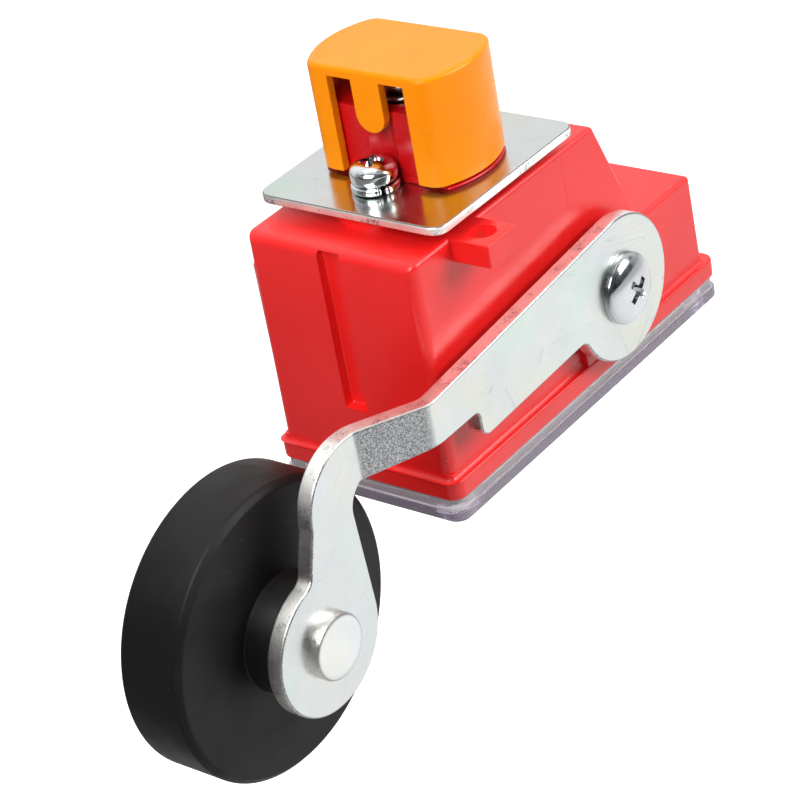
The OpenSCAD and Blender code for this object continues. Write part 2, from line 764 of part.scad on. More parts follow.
module shaft_seal() color([0.08, 0.08, 0.08])
    translate([pivot_x, near_bush_y - seal_t / 2 - 0.1, pivot_z]) rotate([90, 0, 0])
        rotate_extrude() translate([shaft_d / 2 + run_fit + seal_t / 2 - 0.05, 0])
            circle(d = seal_t - 0.1, $fn = 24);

// ---- crank and return spring ----

module crank() color([0.78, 0.66, 0.4]) difference() {
    arm_w = crank_pin_d + 3;
    union() {
        rod_y(pivot_x, pivot_z, shaft_d + 4.4, crank_y, crank_y + crank_t);
        rod_y(pivot_x, pin_z, arm_w, crank_y, crank_y + crank_t);
        translate([pivot_x - arm_w / 2, crank_y, pivot_z]) cube([arm_w, crank_t, crank_r]);
    }
    rod_y(pivot_x, pivot_z, shaft_d, crank_y - cut, crank_y + crank_t + cut);
    rod_y(pivot_x, pin_z, crank_pin_d, crank_y - cut, crank_y + crank_t + cut);
    translate([pivot_x, crank_y + crank_t / 2, pivot_z - shaft_d])
        cylinder(d = roll_pin_d, h = shaft_d);
}

module crank_pin() color([0.7, 0.71, 0.73])
    rod_y(pivot_x, pin_z, crank_pin_d, crank_y, slide_w / 2);

module crank_roll_pin() color([0.4, 0.4, 0.42]) translate([pivot_x, crank_y + crank_t / 2, 0])
    translate([0, 0, pivot_z - shaft_d / 2 - 2]) cylinder(d = roll_pin_d, h = shaft_d + 1.6);

module return_spring() color([0.45, 0.45, 0.48]) {
    r = shaft_d / 2 + 1.1;
    spring_y = slide_w / 2 + pass_gap;
    translate([pivot_x, spring_y, pivot_z]) rotate([-90, 0, 0])
        coil(r, 1, far_bush_y - spring_y - pass_gap, 2.5);
}

// ---- contacts ----

module contact_slide() color([0.92, 0.9, 0.82]) difference() {
    front = body_front + 9;
    rear = pivot_x + crank_pin_d / 2 + fork_room + 1.7;
    translate([front, -slide_w / 2, slide_z]) cube([rear - front, slide_w, slide_h]);
    // fork for the drive pin, open below
    translate([pivot_x - crank_pin_d / 2 - fork_room, -slide_w, slide_z - cut])
        cube([crank_pin_d + 2 * fork_room, 2 * slide_w,
            cut + pin_z + crank_pin_d / 2 + 0.4 - slide_z]);
    // window for the moving bridge and its springs
    translate([contact_x - window_l / 2, -slide_w, slide_z + window_wall])
        cube([window_l, 2 * slide_w, slide_h - 2 * window_wall]);
    // notch under the plunger's foot
    translate([head_x - plunger_d / 2 - 0.5, -slide_w, slide_top - 0.8])
        cube([plunger_d + 1, 2 * slide_w, 2]);
}

module contact_bridge() color([0.8, 0.5, 0.35]) {
    bridge_w = 3.4;
    bridge_l = 2 * tip_y + 4;
    translate([contact_x - bridge_t / 2, -bridge_l / 2, bridge_z - bridge_w / 2])
        cube([bridge_t, bridge_l, bridge_w]);
    for (s = [-1, 1], e = [-1, 1])
        translate([contact_x + (e > 0 ? bridge_t / 2 : -bridge_t / 2 - tip_t), s * tip_y, bridge_z])
            rotate([0, 90, 0]) cylinder(d = tip_d, h = tip_t);
}

module bridge_springs() color([0.45, 0.45, 0.48])
    for (e = [-1, 1]) translate([contact_x + e * bridge_t / 2, 0, bridge_z]) rotate([0, e * 90, 0])
        coil(1.2, 0.4, window_l / 2 - bridge_t / 2, 3);

// Walls beside the slide, in front of and behind the bridge
module slide_tower(x0, x1) {
    tower_w = slide_w + 2 * pass_gap + 3.2;
    difference() {
        translate([x0, -tower_w / 2, slab_z]) cube([x1 - x0, tower_w, slide_top - 1 - slab_z]);
        translate([x0 - cut, -slide_w / 2 - pass_gap, slide_z - pass_gap])
            cube([x1 - x0 + 2 * cut, slide_w + 2 * pass_gap, slide_h + cut]);
    }
}

module contact_block() color([0.16, 0.16, 0.17]) difference() {
    union() {
        translate([slab_front, -slab_w / 2, slab_z]) cube([slab_rear - slab_front, slab_w, slab_t]);
        translate([contact_x - 4, -half_w_top + wall + 0.4, slab_z])
            cube([8, 2 * (half_w_top - wall - 0.4), slab_t]);
        slide_tower(slab_front, contact_x - strip_dx - strip_t - 0.4);
        slide_tower(contact_x + strip_dx + strip_t + 0.4, crank_front - pass_gap);
    }
    for (sx = [-1, 1], sy = [-1, 1]) {
        translate([contact_x + sx * (strip_dx + strip_t / 2) - strip_t / 2 - 0.05,
                sy * tip_y - strip_w / 2 - 0.05, slab_z - cut])
            cube([strip_t + 0.1, strip_w + 0.1, slab_t + 2 * cut]);
        translate([contact_x + sx * term_dx, sy * tip_y, slab_z - cut])
            cylinder(d = small_screw_d + 2 * thread_room, h = cut + 4.4);
    }
    for (s = [-1, 1]) translate([contact_x, s * block_screw_y, slab_z - cut])
        cylinder(d = small_screw_d + 2 * screw_room, h = slab_t + 2 * cut);
}

module fixed_contacts() color([0.85, 0.72, 0.42])
    for (sx = [-1, 1], sy = [-1, 1])
        translate([contact_x, sy * tip_y, 0]) mirror([sx < 0 ? 1 : 0, 0, 0]) difference() {
            union() {
                translate([strip_dx, -strip_w / 2, slab_z - strip_t])
                    cube([strip_t, strip_w, bridge_z + 1.9 - slab_z + strip_t]);
                translate([strip_dx, -strip_w / 2, slab_z - strip_t])
                    cube([term_dx - strip_dx + 3.2, strip_w, strip_t]);
                translate([strip_dx - tip_t, 0, bridge_z]) rotate([0, 90, 0])
                    cylinder(d = tip_d, h = tip_t);
            }
            translate([term_dx, 0, slab_z - strip_t - cut])
                cylinder(d = small_screw_d + 2 * screw_room, h = 4);
        }

module terminal_clamps() color([0.8, 0.8, 0.8])
    for (sx = [-1, 1], sy = [-1, 1])
        translate([contact_x + sx * term_dx, sy * tip_y, slab_z - strip_t - 0.8]) difference() {
            translate([-2.8, -2.8, 0]) cube([5.6, 5.6, 0.8]);
            translate([0, 0, -cut]) cylinder(d = small_screw_d + 2 * screw_room, h = 4);
        }

module terminal_screws() color([0.8, 0.8, 0.8])
    for (sx = [-1, 1], sy = [-1, 1])
        translate([contact_x + sx * term_dx, sy * tip_y, slab_z - strip_t - 0.8]) mirror([0, 0, 1])
            pan_screw(small_screw_d, small_head_d - 0.4, small_head_h - 0.3, 5.8);

module block_screws() color([0.8, 0.8, 0.8])
    for (s = [-1, 1]) translate([contact_x, s * block_screw_y, slab_z]) mirror([0, 0, 1])
        pan_screw(small_screw_d, small_head_d - 0.4, small_head_h - 0.3, slab_t + block_screw_bite);

// ---- roller ----

// Half section of the roller, drawn as (radius, along the axle)
module roller() color([0.07, 0.065, 0.065]) translate([axle_x, 0, axle_z]) rotate([90, 0, 0])
    rotate_extrude($fn = 128) {
        r = roller_d / 2;
        h = roller_w / 2;
        c = roller_chamfer;
        bore = axle_d / 2 + run_fit + bush_wall;
        polygon([
            [bore, -h], [r - c, -h], [r, -h + c], [r, h - c], [r - c, h],
            [hub_d / 2, h], [hub_d / 2 - 0.6, h + hub_h], [bore, h + hub_h]]);
    }

module roller_bush() color([0.72, 0.56, 0.3])
    ring_y(axle_x, axle_z, axle_d + 2 * run_fit + 2 * bush_wall, axle_d + 2 * run_fit,
        -roller_w / 2 - hub_h, roller_w / 2);

module roller_rivet() color([0.85, 0.86, 0.86]) {
    rod_y(axle_x, axle_z, axle_d, end_in, roller_w / 2 + pass_gap);
    rod_y(axle_x, axle_z, rivet_neck_d, end_out - eps, end_in + eps);
    rod_y(axle_x, axle_z, rivet_head_d, end_out - rivet_head_h, end_out);
    translate([0, roller_w / 2 + pass_gap, 0])
        rod_y(axle_x, axle_z, rivet_tail_d, 0, rivet_tail_h);
}

module roller_washer() color([0.8, 0.8, 0.8])
    ring_y(axle_x, axle_z, axle_d + 6, axle_d, end_in, end_in + washer_t);

// ---- cable entry ----

module entry_grommet() color([0.08, 0.08, 0.08])
    translate([body_rear - draft / 2, 0, entry_z]) rotate([0, 90, 0]) difference() {
        union() {
            translate([0, 0, -wall - 1.6]) cylinder(d = entry_d, h = wall + 2.2);
            translate([0, 0, 0.35]) cylinder(d = entry_d + 3.4, h = 1.4);
        }
        translate([0, 0, 0.6]) cylinder(d = 5, h = 4);
    }

housing();
base_cover();
cover_gasket();
cover_screws();
mount_plate();
thread_inserts();
plate_screws();
spring_washers();
reset_guide();
guide_nut();
reset_cap();
reset_plunger();
plunger_clip();
reset_spring();
lever();
lever_screw();
shaft();
shaft_bushes();
shaft_seal();
crank();
crank_pin();
crank_roll_pin();
return_spring();
contact_slide();
contact_bridge();
bridge_springs();
contact_block();
fixed_contacts();
terminal_screws();
terminal_clamps();
block_screws();
roller();
roller_bush();
roller_rivet();
roller_washer();
entry_grommet();
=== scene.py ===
"""Looks of a roller lever limit switch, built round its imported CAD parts. Metres throughout."""
import json
import math

import bmesh
import bpy
from mathutils import Matrix, Vector


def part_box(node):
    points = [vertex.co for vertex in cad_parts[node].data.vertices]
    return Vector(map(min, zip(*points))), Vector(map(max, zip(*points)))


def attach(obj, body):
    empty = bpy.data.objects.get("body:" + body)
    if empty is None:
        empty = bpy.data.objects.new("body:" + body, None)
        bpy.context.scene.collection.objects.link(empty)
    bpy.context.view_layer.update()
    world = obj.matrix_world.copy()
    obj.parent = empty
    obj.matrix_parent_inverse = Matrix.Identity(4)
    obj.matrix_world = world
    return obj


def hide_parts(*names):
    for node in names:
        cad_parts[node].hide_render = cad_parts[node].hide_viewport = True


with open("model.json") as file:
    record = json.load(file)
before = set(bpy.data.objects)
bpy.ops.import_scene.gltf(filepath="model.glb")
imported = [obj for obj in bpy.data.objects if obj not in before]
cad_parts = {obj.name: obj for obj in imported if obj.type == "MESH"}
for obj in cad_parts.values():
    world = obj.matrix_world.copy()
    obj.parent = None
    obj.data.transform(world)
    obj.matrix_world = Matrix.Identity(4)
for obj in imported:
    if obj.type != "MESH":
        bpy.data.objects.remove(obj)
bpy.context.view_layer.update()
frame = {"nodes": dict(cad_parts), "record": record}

MM = 0.001

# ---- Housing -------------------------------------------------------------------------
# One injection moulding in red thermoplastic: a tall end for the head, a low end for the
# wires, a base flange and two ears. Its edges are rounded by the mould and its wide faces
# carry a fine spark-eroded texture, a few sink waves and dust.


def mesh_piece(name, verts, faces):
    """A new object at the origin with that mesh."""
    mesh = bpy.data.meshes.new(name)
    mesh.from_pydata(verts, [], faces)
    mesh.validate()
    piece = bpy.data.objects.new(name, mesh)
    bpy.context.scene.collection.objects.link(piece)
    return piece


def from_cad(node, name):
    """A copy of a CAD node's mesh with its triangles joined back into whole faces."""
    bm = bmesh.new()
    bm.from_mesh(frame["nodes"][node].data)
    bmesh.ops.remove_doubles(bm, verts=bm.verts, dist=0.002 * MM)
    bmesh.ops.dissolve_limit(bm, angle_limit=math.radians(0.4), verts=bm.verts,
                             edges=bm.edges, use_dissolve_boundaries=False)
    verts = [v.co.copy() for v in bm.verts]
    faces = [[v.index for v in f.verts] for f in bm.faces]
    bm.free()
    return mesh_piece(name, verts, faces)


def round_edges(piece, width, segments=3, angle=32):
    """Rounds every edge sharper than the angle with a live bevel, and evens the shading."""
    bevel = piece.modifiers.new("edge_round", "BEVEL")
    bevel.width = width * MM
    bevel.segments = segments
    bevel.limit_method = "ANGLE"
    bevel.angle_limit = math.radians(angle)
    bevel.use_clamp_overlap = False
    piece.data.shade_smooth()
    return even_shading(piece)


def even_shading(piece):
    """Lets the wide faces rule the normals, so that flats stay flat beside rounded edges."""
    evened = piece.modifiers.new("even_shading", "WEIGHTED_NORMAL")
    evened.keep_sharp = True
    evened.weight = 100
    return piece


def outward(piece):
    """Turns a closed mesh's faces outwards."""
    bm = bmesh.new()
    bm.from_mesh(piece.data)
    bmesh.ops.recalc_face_normals(bm, faces=bm.faces)
    bm.to_mesh(piece.data)
    bm.free()


def prism(name, outline, low, high, axis="z"):
    """A closed prism on an outline in millimetres, along an axis."""
    def place(u, v, w):
        spot = {"z": (u, v, w), "y": (u, w, v), "x": (w, u, v)}[axis]
        return tuple(c * MM for c in spot)
    count = len(outline)
    verts = [place(u, v, w) for w in (low, high) for u, v in outline]
    faces = [list(range(count))[::-1], list(range(count, 2 * count))]
    for k in range(count):
        m = (k + 1) % count
        faces.append([k, m, count + m, count + k])
    piece = mesh_piece(name, verts, faces)
    outward(piece)
    return piece


def settle(piece):
    """Replaces a piece's mesh by its mesh with the modifiers applied."""
    graph = bpy.context.evaluated_depsgraph_get()
    graph.update()
    mesh = bpy.data.meshes.new_from_object(piece.evaluated_get(graph), depsgraph=graph)
    piece.modifiers.clear()
    piece.data = mesh
    return piece


def cut_with(piece, cutter, operation="DIFFERENCE"):
    """Cuts one piece with another, or joins them, and removes the cutter."""
    boolean = piece.modifiers.new("cut", "BOOLEAN")
    boolean.operation = operation
    boolean.solver = "EXACT"
    boolean.object = cutter
    settle(piece)
    bpy.data.objects.remove(cutter)
    return piece


def shift(piece, x, y, z):
    """Moves the mesh itself, so the object stays at the origin. Metres."""
    piece.data.transform(Matrix.Translation((x, y, z)))
    return piece


def bevel_now(piece, width, segments, keep):
    """Rounds the edges that keep(edge) picks, at once."""
    bm = bmesh.new()
    bm.from_mesh(piece.data)
    picked = [e for e in bm.edges if keep(e)]
    bmesh.ops.bevel(bm, geom=picked, offset=width * MM, segments=segments, profile=0.5,
                    affect="EDGES", clamp_overlap=True)
    bm.to_mesh(piece.data)
    bm.free()
    return piece


def arc(cx, cy, r, a0, a1, steps):
    """Points on an arc, angles in degrees."""
    spots = [math.radians(a0 + (a1 - a0) * i / steps) for i in range(steps + 1)]
    return [(cx + r * math.cos(a), cy + r * math.sin(a)) for a in spots]


def turned(name, profile, steps=96):
    """A closed turned piece about Z: profile points are (radius, height), millimetres."""
    verts, rings, faces = [], [], []
    for r, h in profile:
        ring = []
        for k in range(steps if r > 0 else 1):
            a = 2 * math.pi * k / steps
            ring.append(len(verts))
            verts.append((r * math.cos(a) * MM, r * math.sin(a) * MM, h * MM))
        rings.append(ring)
    pairs = list(zip(rings, rings[1:]))
    if profile[0][0] > 0 and profile[-1][0] > 0:
        pairs.append((rings[-1], rings[0]))
    for upper, lower in pairs:
        for k in range(steps):
            m = (k + 1) % steps
            quad = [upper[k % len(upper)], lower[k % len(lower)], lower[m % len(lower)],
                    upper[m % len(upper)]]
            unique = list(dict.fromkeys(quad))
            if len(unique) > 2:
                faces.append(unique)
    piece = mesh_piece(name, verts, faces)
    outward(piece)
    return piece


def smooth_by_angle(piece, angle=35):
    """Smooth shading, with edges over that many degrees kept sharp."""
    piece.data.shade_smooth()
    piece.data.set_sharp_from_angle(angle=math.radians(angle))
    return piece


def finish_piece(piece, body, slot, material, *nodes):
    """Gives a piece its material, hangs it on its body's empty, hides the CAD nodes it replaces."""
    piece.data.materials.clear()
    piece.data.materials.append(material)
    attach(piece, body)
    if nodes:
        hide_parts(*nodes)
    return piece


class Nodes:
    """Short hand for building one node tree."""

    def __init__(self, tree):
        self.tree = tree

    def add(self, kind, **inputs):
        """A node with its inputs set; an input that is a socket is linked."""
        settings = inputs.pop("settings", {})
        node = self.tree.nodes.new(kind)
        for name, value in settings.items():
            setattr(node, name, value)
        for name, value in inputs.items():
            key = int(name[1:]) if name[0] == "i" and name[1:].isdigit() else name.replace("_", " ")
            self.put(node.inputs[key], value)
        return node

    def put(self, socket, value):
        if isinstance(value, bpy.types.NodeSocket):
            self.tree.links.new(value, socket)
        else:
            socket.default_value = value

    def math(self, operation, a, b=0.0, clamp=False):
        return self.add("ShaderNodeMath", i0=a, i1=b,
                        settings={"operation": operation, "use_clamp": clamp}).outputs[0]

    def vector(self, operation, a, b=(0, 0, 0)):
        node = self.add("ShaderNodeVectorMath", i0=a, i1=b, settings={"operation": operation})
        return node.outputs["Value" if operation in ("DOT_PRODUCT", "LENGTH") else "Vector"]

    def noise(self, where, scale, detail=3.0, rough=0.5, stretch=(1, 1, 1)):
        """Noise at a scale in features per metre, stretched along the axes."""
        if stretch != (1, 1, 1):
            where = self.vector("MULTIPLY", where, stretch)
        return self.add("ShaderNodeTexNoise", Vector=where, Scale=scale, Detail=detail,
                        Roughness=rough).outputs["Fac"]

    def steps(self, value, low, high, to_low=0.0, to_high=1.0):
        """Maps low..high to to_low..to_high, held at the ends."""
        return self.add("ShaderNodeMapRange", Value=value, From_Min=low, From_Max=high,
                        To_Min=to_low, To_Max=to_high).outputs[0]

    def mix(self, mask, a, b):
        """A mix of two colours."""
        return self.add("ShaderNodeMix", i0=mask, i6=a, i7=b,
                        settings={"data_type": "RGBA"}).outputs[2]


def colour(r, g, b):
    """Linear colour from 0..255 display values."""
    def linear(c):
        c /= 255
        return c / 12.92 if c <= 0.04045 else ((c + 0.055) / 1.055) ** 2.4
    return (linear(r), linear(g), linear(b), 1.0)


def effect(name, inputs, outputs):
    """An empty shader node group with those sockets: its nodes, its input and its output."""
    tree = bpy.data.node_groups.new(name, "ShaderNodeTree")
    for socket, kind, value in inputs:
        made = tree.interface.new_socket(socket, in_out="INPUT", socket_type=kind)
        if value is not None:
            made.default_value = value
    for socket, kind in outputs:
        tree.interface.new_socket(socket, in_out="OUTPUT", socket_type=kind)
    n = Nodes(tree)
    return n, n.add("NodeGroupInput").outputs, n.add("NodeGroupOutput").inputs


VALUE = "NodeSocketFloat"


def dust_effect():
    """Sparse dust specks: a mask that is 1 on a speck."""
    n, given, out = effect("dust_specks", [("Spacing", VALUE, 1.0), ("Size", VALUE, 0.1),
                                           ("Amount", VALUE, 0.5)], [("Specks", VALUE)])
    where = n.add("ShaderNodeTexCoord").outputs["Object"]
    per_metre = n.math("DIVIDE", 1000.0, given["Spacing"])
    cells = n.add("ShaderNodeTexVoronoi", Vector=where, Scale=per_metre, Randomness=1.0,
                  settings={"feature": "F1"})
    near = n.math("LESS_THAN", cells.outputs["Distance"], given["Size"])
    pick = n.add("ShaderNodeSeparateColor", Color=cells.outputs["Color"]).outputs[0]
    chosen = n.math("LESS_THAN", pick, given["Amount"])
    n.put(out["Specks"], n.math("MULTIPLY", near, chosen))
    return n.tree


def scratch_effect():
    """Fine hairlines in a few directions: a mask that is 1 in a scratch."""
    n, given, out = effect("hairlines", [("Spacing", VALUE, 1.0), ("Amount", VALUE, 0.5)],
                           [("Lines", VALUE)])
    where = n.add("ShaderNodeTexCoord").outputs["Object"]
    total = None
    for angle, seed in ((20, 1.0), (75, 5.0), (130, 9.0)):
        swung = n.add("ShaderNodeMapping", Vector=where, Location=(seed, seed, seed),
                      Rotation=(0, math.radians(angle), 0)).outputs[0]
        stretched = n.vector("MULTIPLY", swung, (1.0, 1.0, 0.04))
        scale = n.math("DIVIDE", 1000.0, given["Spacing"])
        lines = n.add("ShaderNodeTexNoise", Vector=stretched, Scale=scale, Detail=1.0)
        ridge = n.math("ABSOLUTE", n.math("SUBTRACT", lines.outputs["Fac"], 0.5))
        thin = n.steps(ridge, 0.0, 0.006, 1.0, 0.0)
        patch = n.noise(swung, 120.0)
        limit = n.math("SUBTRACT", 1.0, given["Amount"])
        shown = n.math("MULTIPLY", thin, n.math("GREATER_THAN", patch, limit))
        total = shown if total is None else n.math("MAXIMUM", total, shown)
    n.put(out["Lines"], total)
    return n.tree


dust_specks = dust_effect()
hairlines = scratch_effect()


def new_material(name, **plain):
    """A material with one Principled shader whose plain numbers are set on its own sockets."""
    material = bpy.data.materials.new(name)
    material.use_nodes = True
    n = Nodes(material.node_tree)
    shader = material.node_tree.nodes["Principled BSDF"]
    for socket, value in plain.items():
        shader.inputs[socket.replace("_", " ")].default_value = value
    where = n.add("ShaderNodeTexCoord").outputs["Object"]
    return material, n, shader.inputs, where


def use(n, group, **inputs):
    """A node that places an effect with its own values."""
    node = n.tree.nodes.new("ShaderNodeGroup")
    node.node_tree = group
    for socket, value in inputs.items():
        n.put(node.inputs[socket.replace("_", " ")], value)
    return node.outputs


def bump(n, height, distance, strength=1.0, normal=None):
    """A bump of that height in millimetres."""
    node = n.add("ShaderNodeBump", Height=height, Strength=strength, Distance=distance * MM)
    if normal is not None:
        n.put(node.inputs["Normal"], normal)
    return node.outputs[0]


def moulded(name, base, deep, rough, texture=0.004, specks=0.35, **plain):
    """Moulded plastic: a slow drift of colour, a fine mould texture and dust specks."""
    material, n, shader, where = new_material(name, IOR=1.5, **plain)
    drift = n.noise(where, 45.0, 2.0)
    tone = n.mix(n.steps(drift, 0.35, 0.65), colour(*base), colour(*deep))
    specks_mask = use(n, dust_specks, Spacing=2.6, Size=0.035, Amount=specks)["Specks"]
    n.put(shader["Base Color"], n.mix(n.math("MULTIPLY", specks_mask, 0.55), tone,
                                      (0.85, 0.8, 0.78, 1)))
    smear = n.noise(where, 160.0, 4.0, 0.6)
    n.put(shader["Roughness"], n.steps(smear, 0.3, 0.7, rough - 0.04, rough + 0.05))
    grain = n.noise(where, 5200.0, 2.0, 0.6)
    waves = n.noise(where, 90.0, 1.0)
    first = bump(n, grain, texture)
    n.put(shader["Normal"], bump(n, waves, 0.05, 0.35, first))
    return material


red_plastic = moulded("red_plastic", (246, 34, 33), (238, 27, 28), 0.32,
                      Subsurface_Weight=0.1, Subsurface_Scale=0.5 * MM,
                      Subsurface_Radius=(1.0, 0.25, 0.2), Specular_IOR_Level=0.65)


def box(name, low, high, edge=0.0, segments=3):
    """A block between two corners in millimetres, with its edges rounded."""
    outline = [(low[0], low[1]), (high[0], low[1]), (high[0], high[1]), (low[0], high[1])]
    block = prism(name, outline, low[2], high[2])
    if edge:
        bevel_now(block, edge, segments, lambda e: True)
    return block


def rounded_rect(low, high, r, steps=10):
    """A rectangle with round corners, counter-clockwise."""
    points = []
    for cx, cy, start in ((high[0] - r, high[1] - r, 0), (low[0] + r, high[1] - r, 90),
                          (low[0] + r, low[1] + r, 180), (high[0] - r, low[1] + r, 270)):
        points += arc(cx, cy, r, start, start + 90, steps)
    return points


def stack(name, rings):
    """A closed solid through outlines of like count, each an outline and its height."""
    count = len(rings[0][0])
    verts = [(x * MM, y * MM, z * MM) for outline, z in rings for x, y in outline]
    last = (len(rings) - 1) * count
    faces = [list(range(count))[::-1], [last + k for k in range(count)]]
    for level in range(len(rings) - 1):
        for k in range(count):
            m = (k + 1) % count
            faces.append([level * count + k, level * count + m, (level + 1) * count + m,
                          (level + 1) * count + k])
    solid = mesh_piece(name, verts, faces)
    outward(solid)
    return solid


def rod(name, x, y, z, r, reach, axis):
    """A round bar at a point, from the first to the second reach along an axis."""
    centre = {"z": (x, y), "y": (x, z), "x": (y, z)}[axis]
    return prism(name, arc(*centre, r, 0, 354, 59), *reach, axis=axis)


base_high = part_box("base_cover")[1] / MM
plate_box = [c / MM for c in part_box("mount_plate")]
head_x = (plate_box[0].x + plate_box[1].x) / 2
half_l, half_w = base_high.x, base_high.y
cover_h, flange_h, tall_h, low_h = 4.0, 3.5, 46.4, 24.7
flange_top = cover_h + flange_h
front, rear, side_low, lean = -half_l + 0.7, half_l - 2.6, half_w - 1.2, 0.5
tall_rear, slope_foot, wall = front + 50.7, front + 59.7, 2.2
shaft_box = [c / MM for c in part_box("shaft_bushes")]
pivot = ((shaft_box[0].x + shaft_box[1].x) / 2, (shaft_box[0].z + shaft_box[1].z) / 2)


def body_block(name, inset, floor, edge):
    """The tall and the low end as one drafted block, set in by a wall where it is a cavity."""
    profile = [(front + inset, floor), (front + lean / 2 + inset, tall_h - inset),
               (tall_rear - inset * 1.1, tall_h - inset),
               (slope_foot - inset * 1.1, low_h - inset),
               (rear - lean - inset, low_h - inset), (rear - inset, floor)]
    side = [side_low - inset - lean * (z - cover_h) / (tall_h - cover_h) for _, z in profile]
    verts = [(x * MM, s * w * MM, z * MM) for s in (-1, 1)
             for (x, z), w in zip(profile, side)]
    faces = [list(range(6)), list(range(6, 12))[::-1]]
    faces += [[k, k + 6, (k + 1) % 6 + 6, (k + 1) % 6] for k in range(6)]
    block = mesh_piece(name, verts, faces)
    outward(block)
    if edge:
        mesh = block.data
        share = mesh.attributes.new("bevel_weight_edge", "FLOAT", "EDGE")
        for line in mesh.edges:
            ends = [mesh.vertices[v].co / MM for v in line.vertices]
            at_front = max(end.x for end in ends) < front + 1
            above_floor = max(end.z for end in ends) > floor + 1
            share.data[line.index].value = (1.0 if at_front else 0.45) if above_floor else 0.0
        bevel = block.modifiers.new("mould_radius", "BEVEL")
        bevel.limit_method = "WEIGHT"
        bevel.width = edge * MM
        bevel.segments = 6
        settle(block)
    return block


housing = body_block("housing_shell", 0, cover_h, 1.8)
flange = prism("flange", rounded_rect((-half_l, -half_w), (half_l, half_w), 2.4),
               cover_h, flange_top)
bevel_now(flange, 0.45, 3, lambda e: abs(e.verts[0].co.z - e.verts[1].co.z) < 1e-7)
cut_with(housing, flange, "UNION")

skirt_r, skirt_sink, skirt_steps = 1.1, 0.05, 7
skirt = []
for i in range(skirt_steps + 1):
    a = math.radians(90 * i / skirt_steps)
    grow = skirt_r * (1 - math.sin(a)) - 0.02
    ring = rounded_rect((front - grow, -side_low - grow), (rear + grow, side_low + grow),
                        0.9 + grow)
    skirt.append((ring, flange_top - skirt_sink + skirt_r * (1 - math.cos(a))))
cut_with(housing, stack("skirt", skirt), "UNION")

side_top = side_low - lean
inner_side = side_top - wall
plate_screw_box = [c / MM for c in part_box("plate_screws")]
plate_head_r = 3.9
screw_dx = (plate_screw_box[1].x - plate_screw_box[0].x) / 2 - plate_head_r
ear_dx, ear_l, ear_out, ear_t = 11.4, 7.6, 7.4, 4.1
boss_profile = [(0, 2.2), (6.6, 2.2), (6.9, 2.1), (7.0, 1.8), (7.0, -1.0), (0, -1.0)]
for s in (-1, 1):
    near, far = sorted((s * inner_side, s * (side_top + ear_out)))
    ear_x = head_x + s * ear_dx
    cut_with(housing, box("ear", (ear_x - ear_l / 2, near, tall_h - ear_t),
                          (ear_x + ear_l / 2, far, tall_h - 0.01), 0.25), "UNION")
    boss = turned("boss", boss_profile)
    cut_with(housing, shift(boss, (head_x + s * screw_dx) * MM, 0, tall_h * MM), "UNION")

pad_front, pad_l, pad_h = front + 0.8, 36.0, 1.8
pad_in, pad_drop, pad_out = 10, 7.1, side_low + pad_h
pad_plan = [(pad_front, pad_in), (pad_front, side_top - lean),
            (pad_front + pad_h + lean, pad_out), (pad_front + pad_l, pad_out),
            (pad_front + pad_l, pad_in)]
pad = prism("pad", pad_plan, flange_top + 3, tall_h - pad_drop)
bevel_now(pad, 0.6, 3, lambda e: max(v.co.z for v in e.verts) > (tall_h - pad_drop - 0.9) * MM)
cut_with(housing, pad, "UNION")

boss_r = 8.0
pivot_pad = rounded_rect((pivot[0] - boss_r, 2), (pivot[0] + boss_r, pivot[1] + boss_r),
                         boss_r - 0.01)
pivot_pad = [p for p in pivot_pad if p[1] > pivot[1] - 0.1]
pivot_pad += [(pivot[0] + s * boss_r, flange_top - 0.5) for s in (-1, 1)]
pivot_block = prism("pivot_pad", pivot_pad, -side_low - 1, -side_low + 3, axis="y")
bevel_now(pivot_block, 0.25, 2, lambda e: max(v.co.y for v in e.verts) < (-side_low) * MM)
cut_with(housing, pivot_block, "UNION")

seam_x, seam_half, seam_proud, seam_top = 1.8, 0.09, 0.035, tall_h - 1.2
for s in (-1, 1):
    wall_line = [(s * (side_low - 0.1 + seam_proud), flange_top + 3),
                 (s * (side_top + seam_proud), seam_top),
                 (s * (side_top - 1), seam_top), (s * (side_top - 1), flange_top + 3)]
    cut_with(housing, prism("parting_line", wall_line, seam_x - seam_half,
                            seam_x + seam_half, axis="x"), "UNION")

cut_with(housing, body_block("cavity", wall, cover_h - 1, 0))
inside = body_block("inside_limit", wall / 2, cover_h + 0.001, 0)
column_x, column_y, column_h = half_l - 5.8, half_w - 5.6, 10
lug_x, lug_low, lug_high = head_x - 5, flange_top + 8.5, flange_top + 15
roof, insert_l = tall_h - wall, 5.6
near_y, far_y = shaft_box[0].y, shaft_box[1].y
parts = [rod("column", sx * column_x, sy * column_y, 0, 3.5, (cover_h, cover_h + column_h), "z")
         for sx in (-1, 1) for sy in (-1, 1)]
parts += [rod("lug", lug_x, s * (inner_side - 1.8), 0, 3, (lug_low, lug_high), "z")
          for s in (-1, 1)]
parts += [rod("insert_boss", head_x + s * screw_dx, 0, 0, 4.2, (roof - insert_l, roof + 0.5),
              "z") for s in (-1, 1)]
parts += [rod("shaft_boss", pivot[0], 0, pivot[1], boss_r, reach, "y")
          for reach in ((-inner_side - 1, near_y + 6), (far_y - 6, inner_side + 1))]
parts += [box("groove_back", (front + wall - 0.5, -4.45, 14.8),
              (front + wall + 1.8, 4.45, roof + 0.5))]
fittings = parts[0]
for part in parts[1:]:
    cut_with(fittings, part, "UNION")
cut_with(fittings, inside, "INTERSECT")
cut_with(housing, fittings, "UNION")

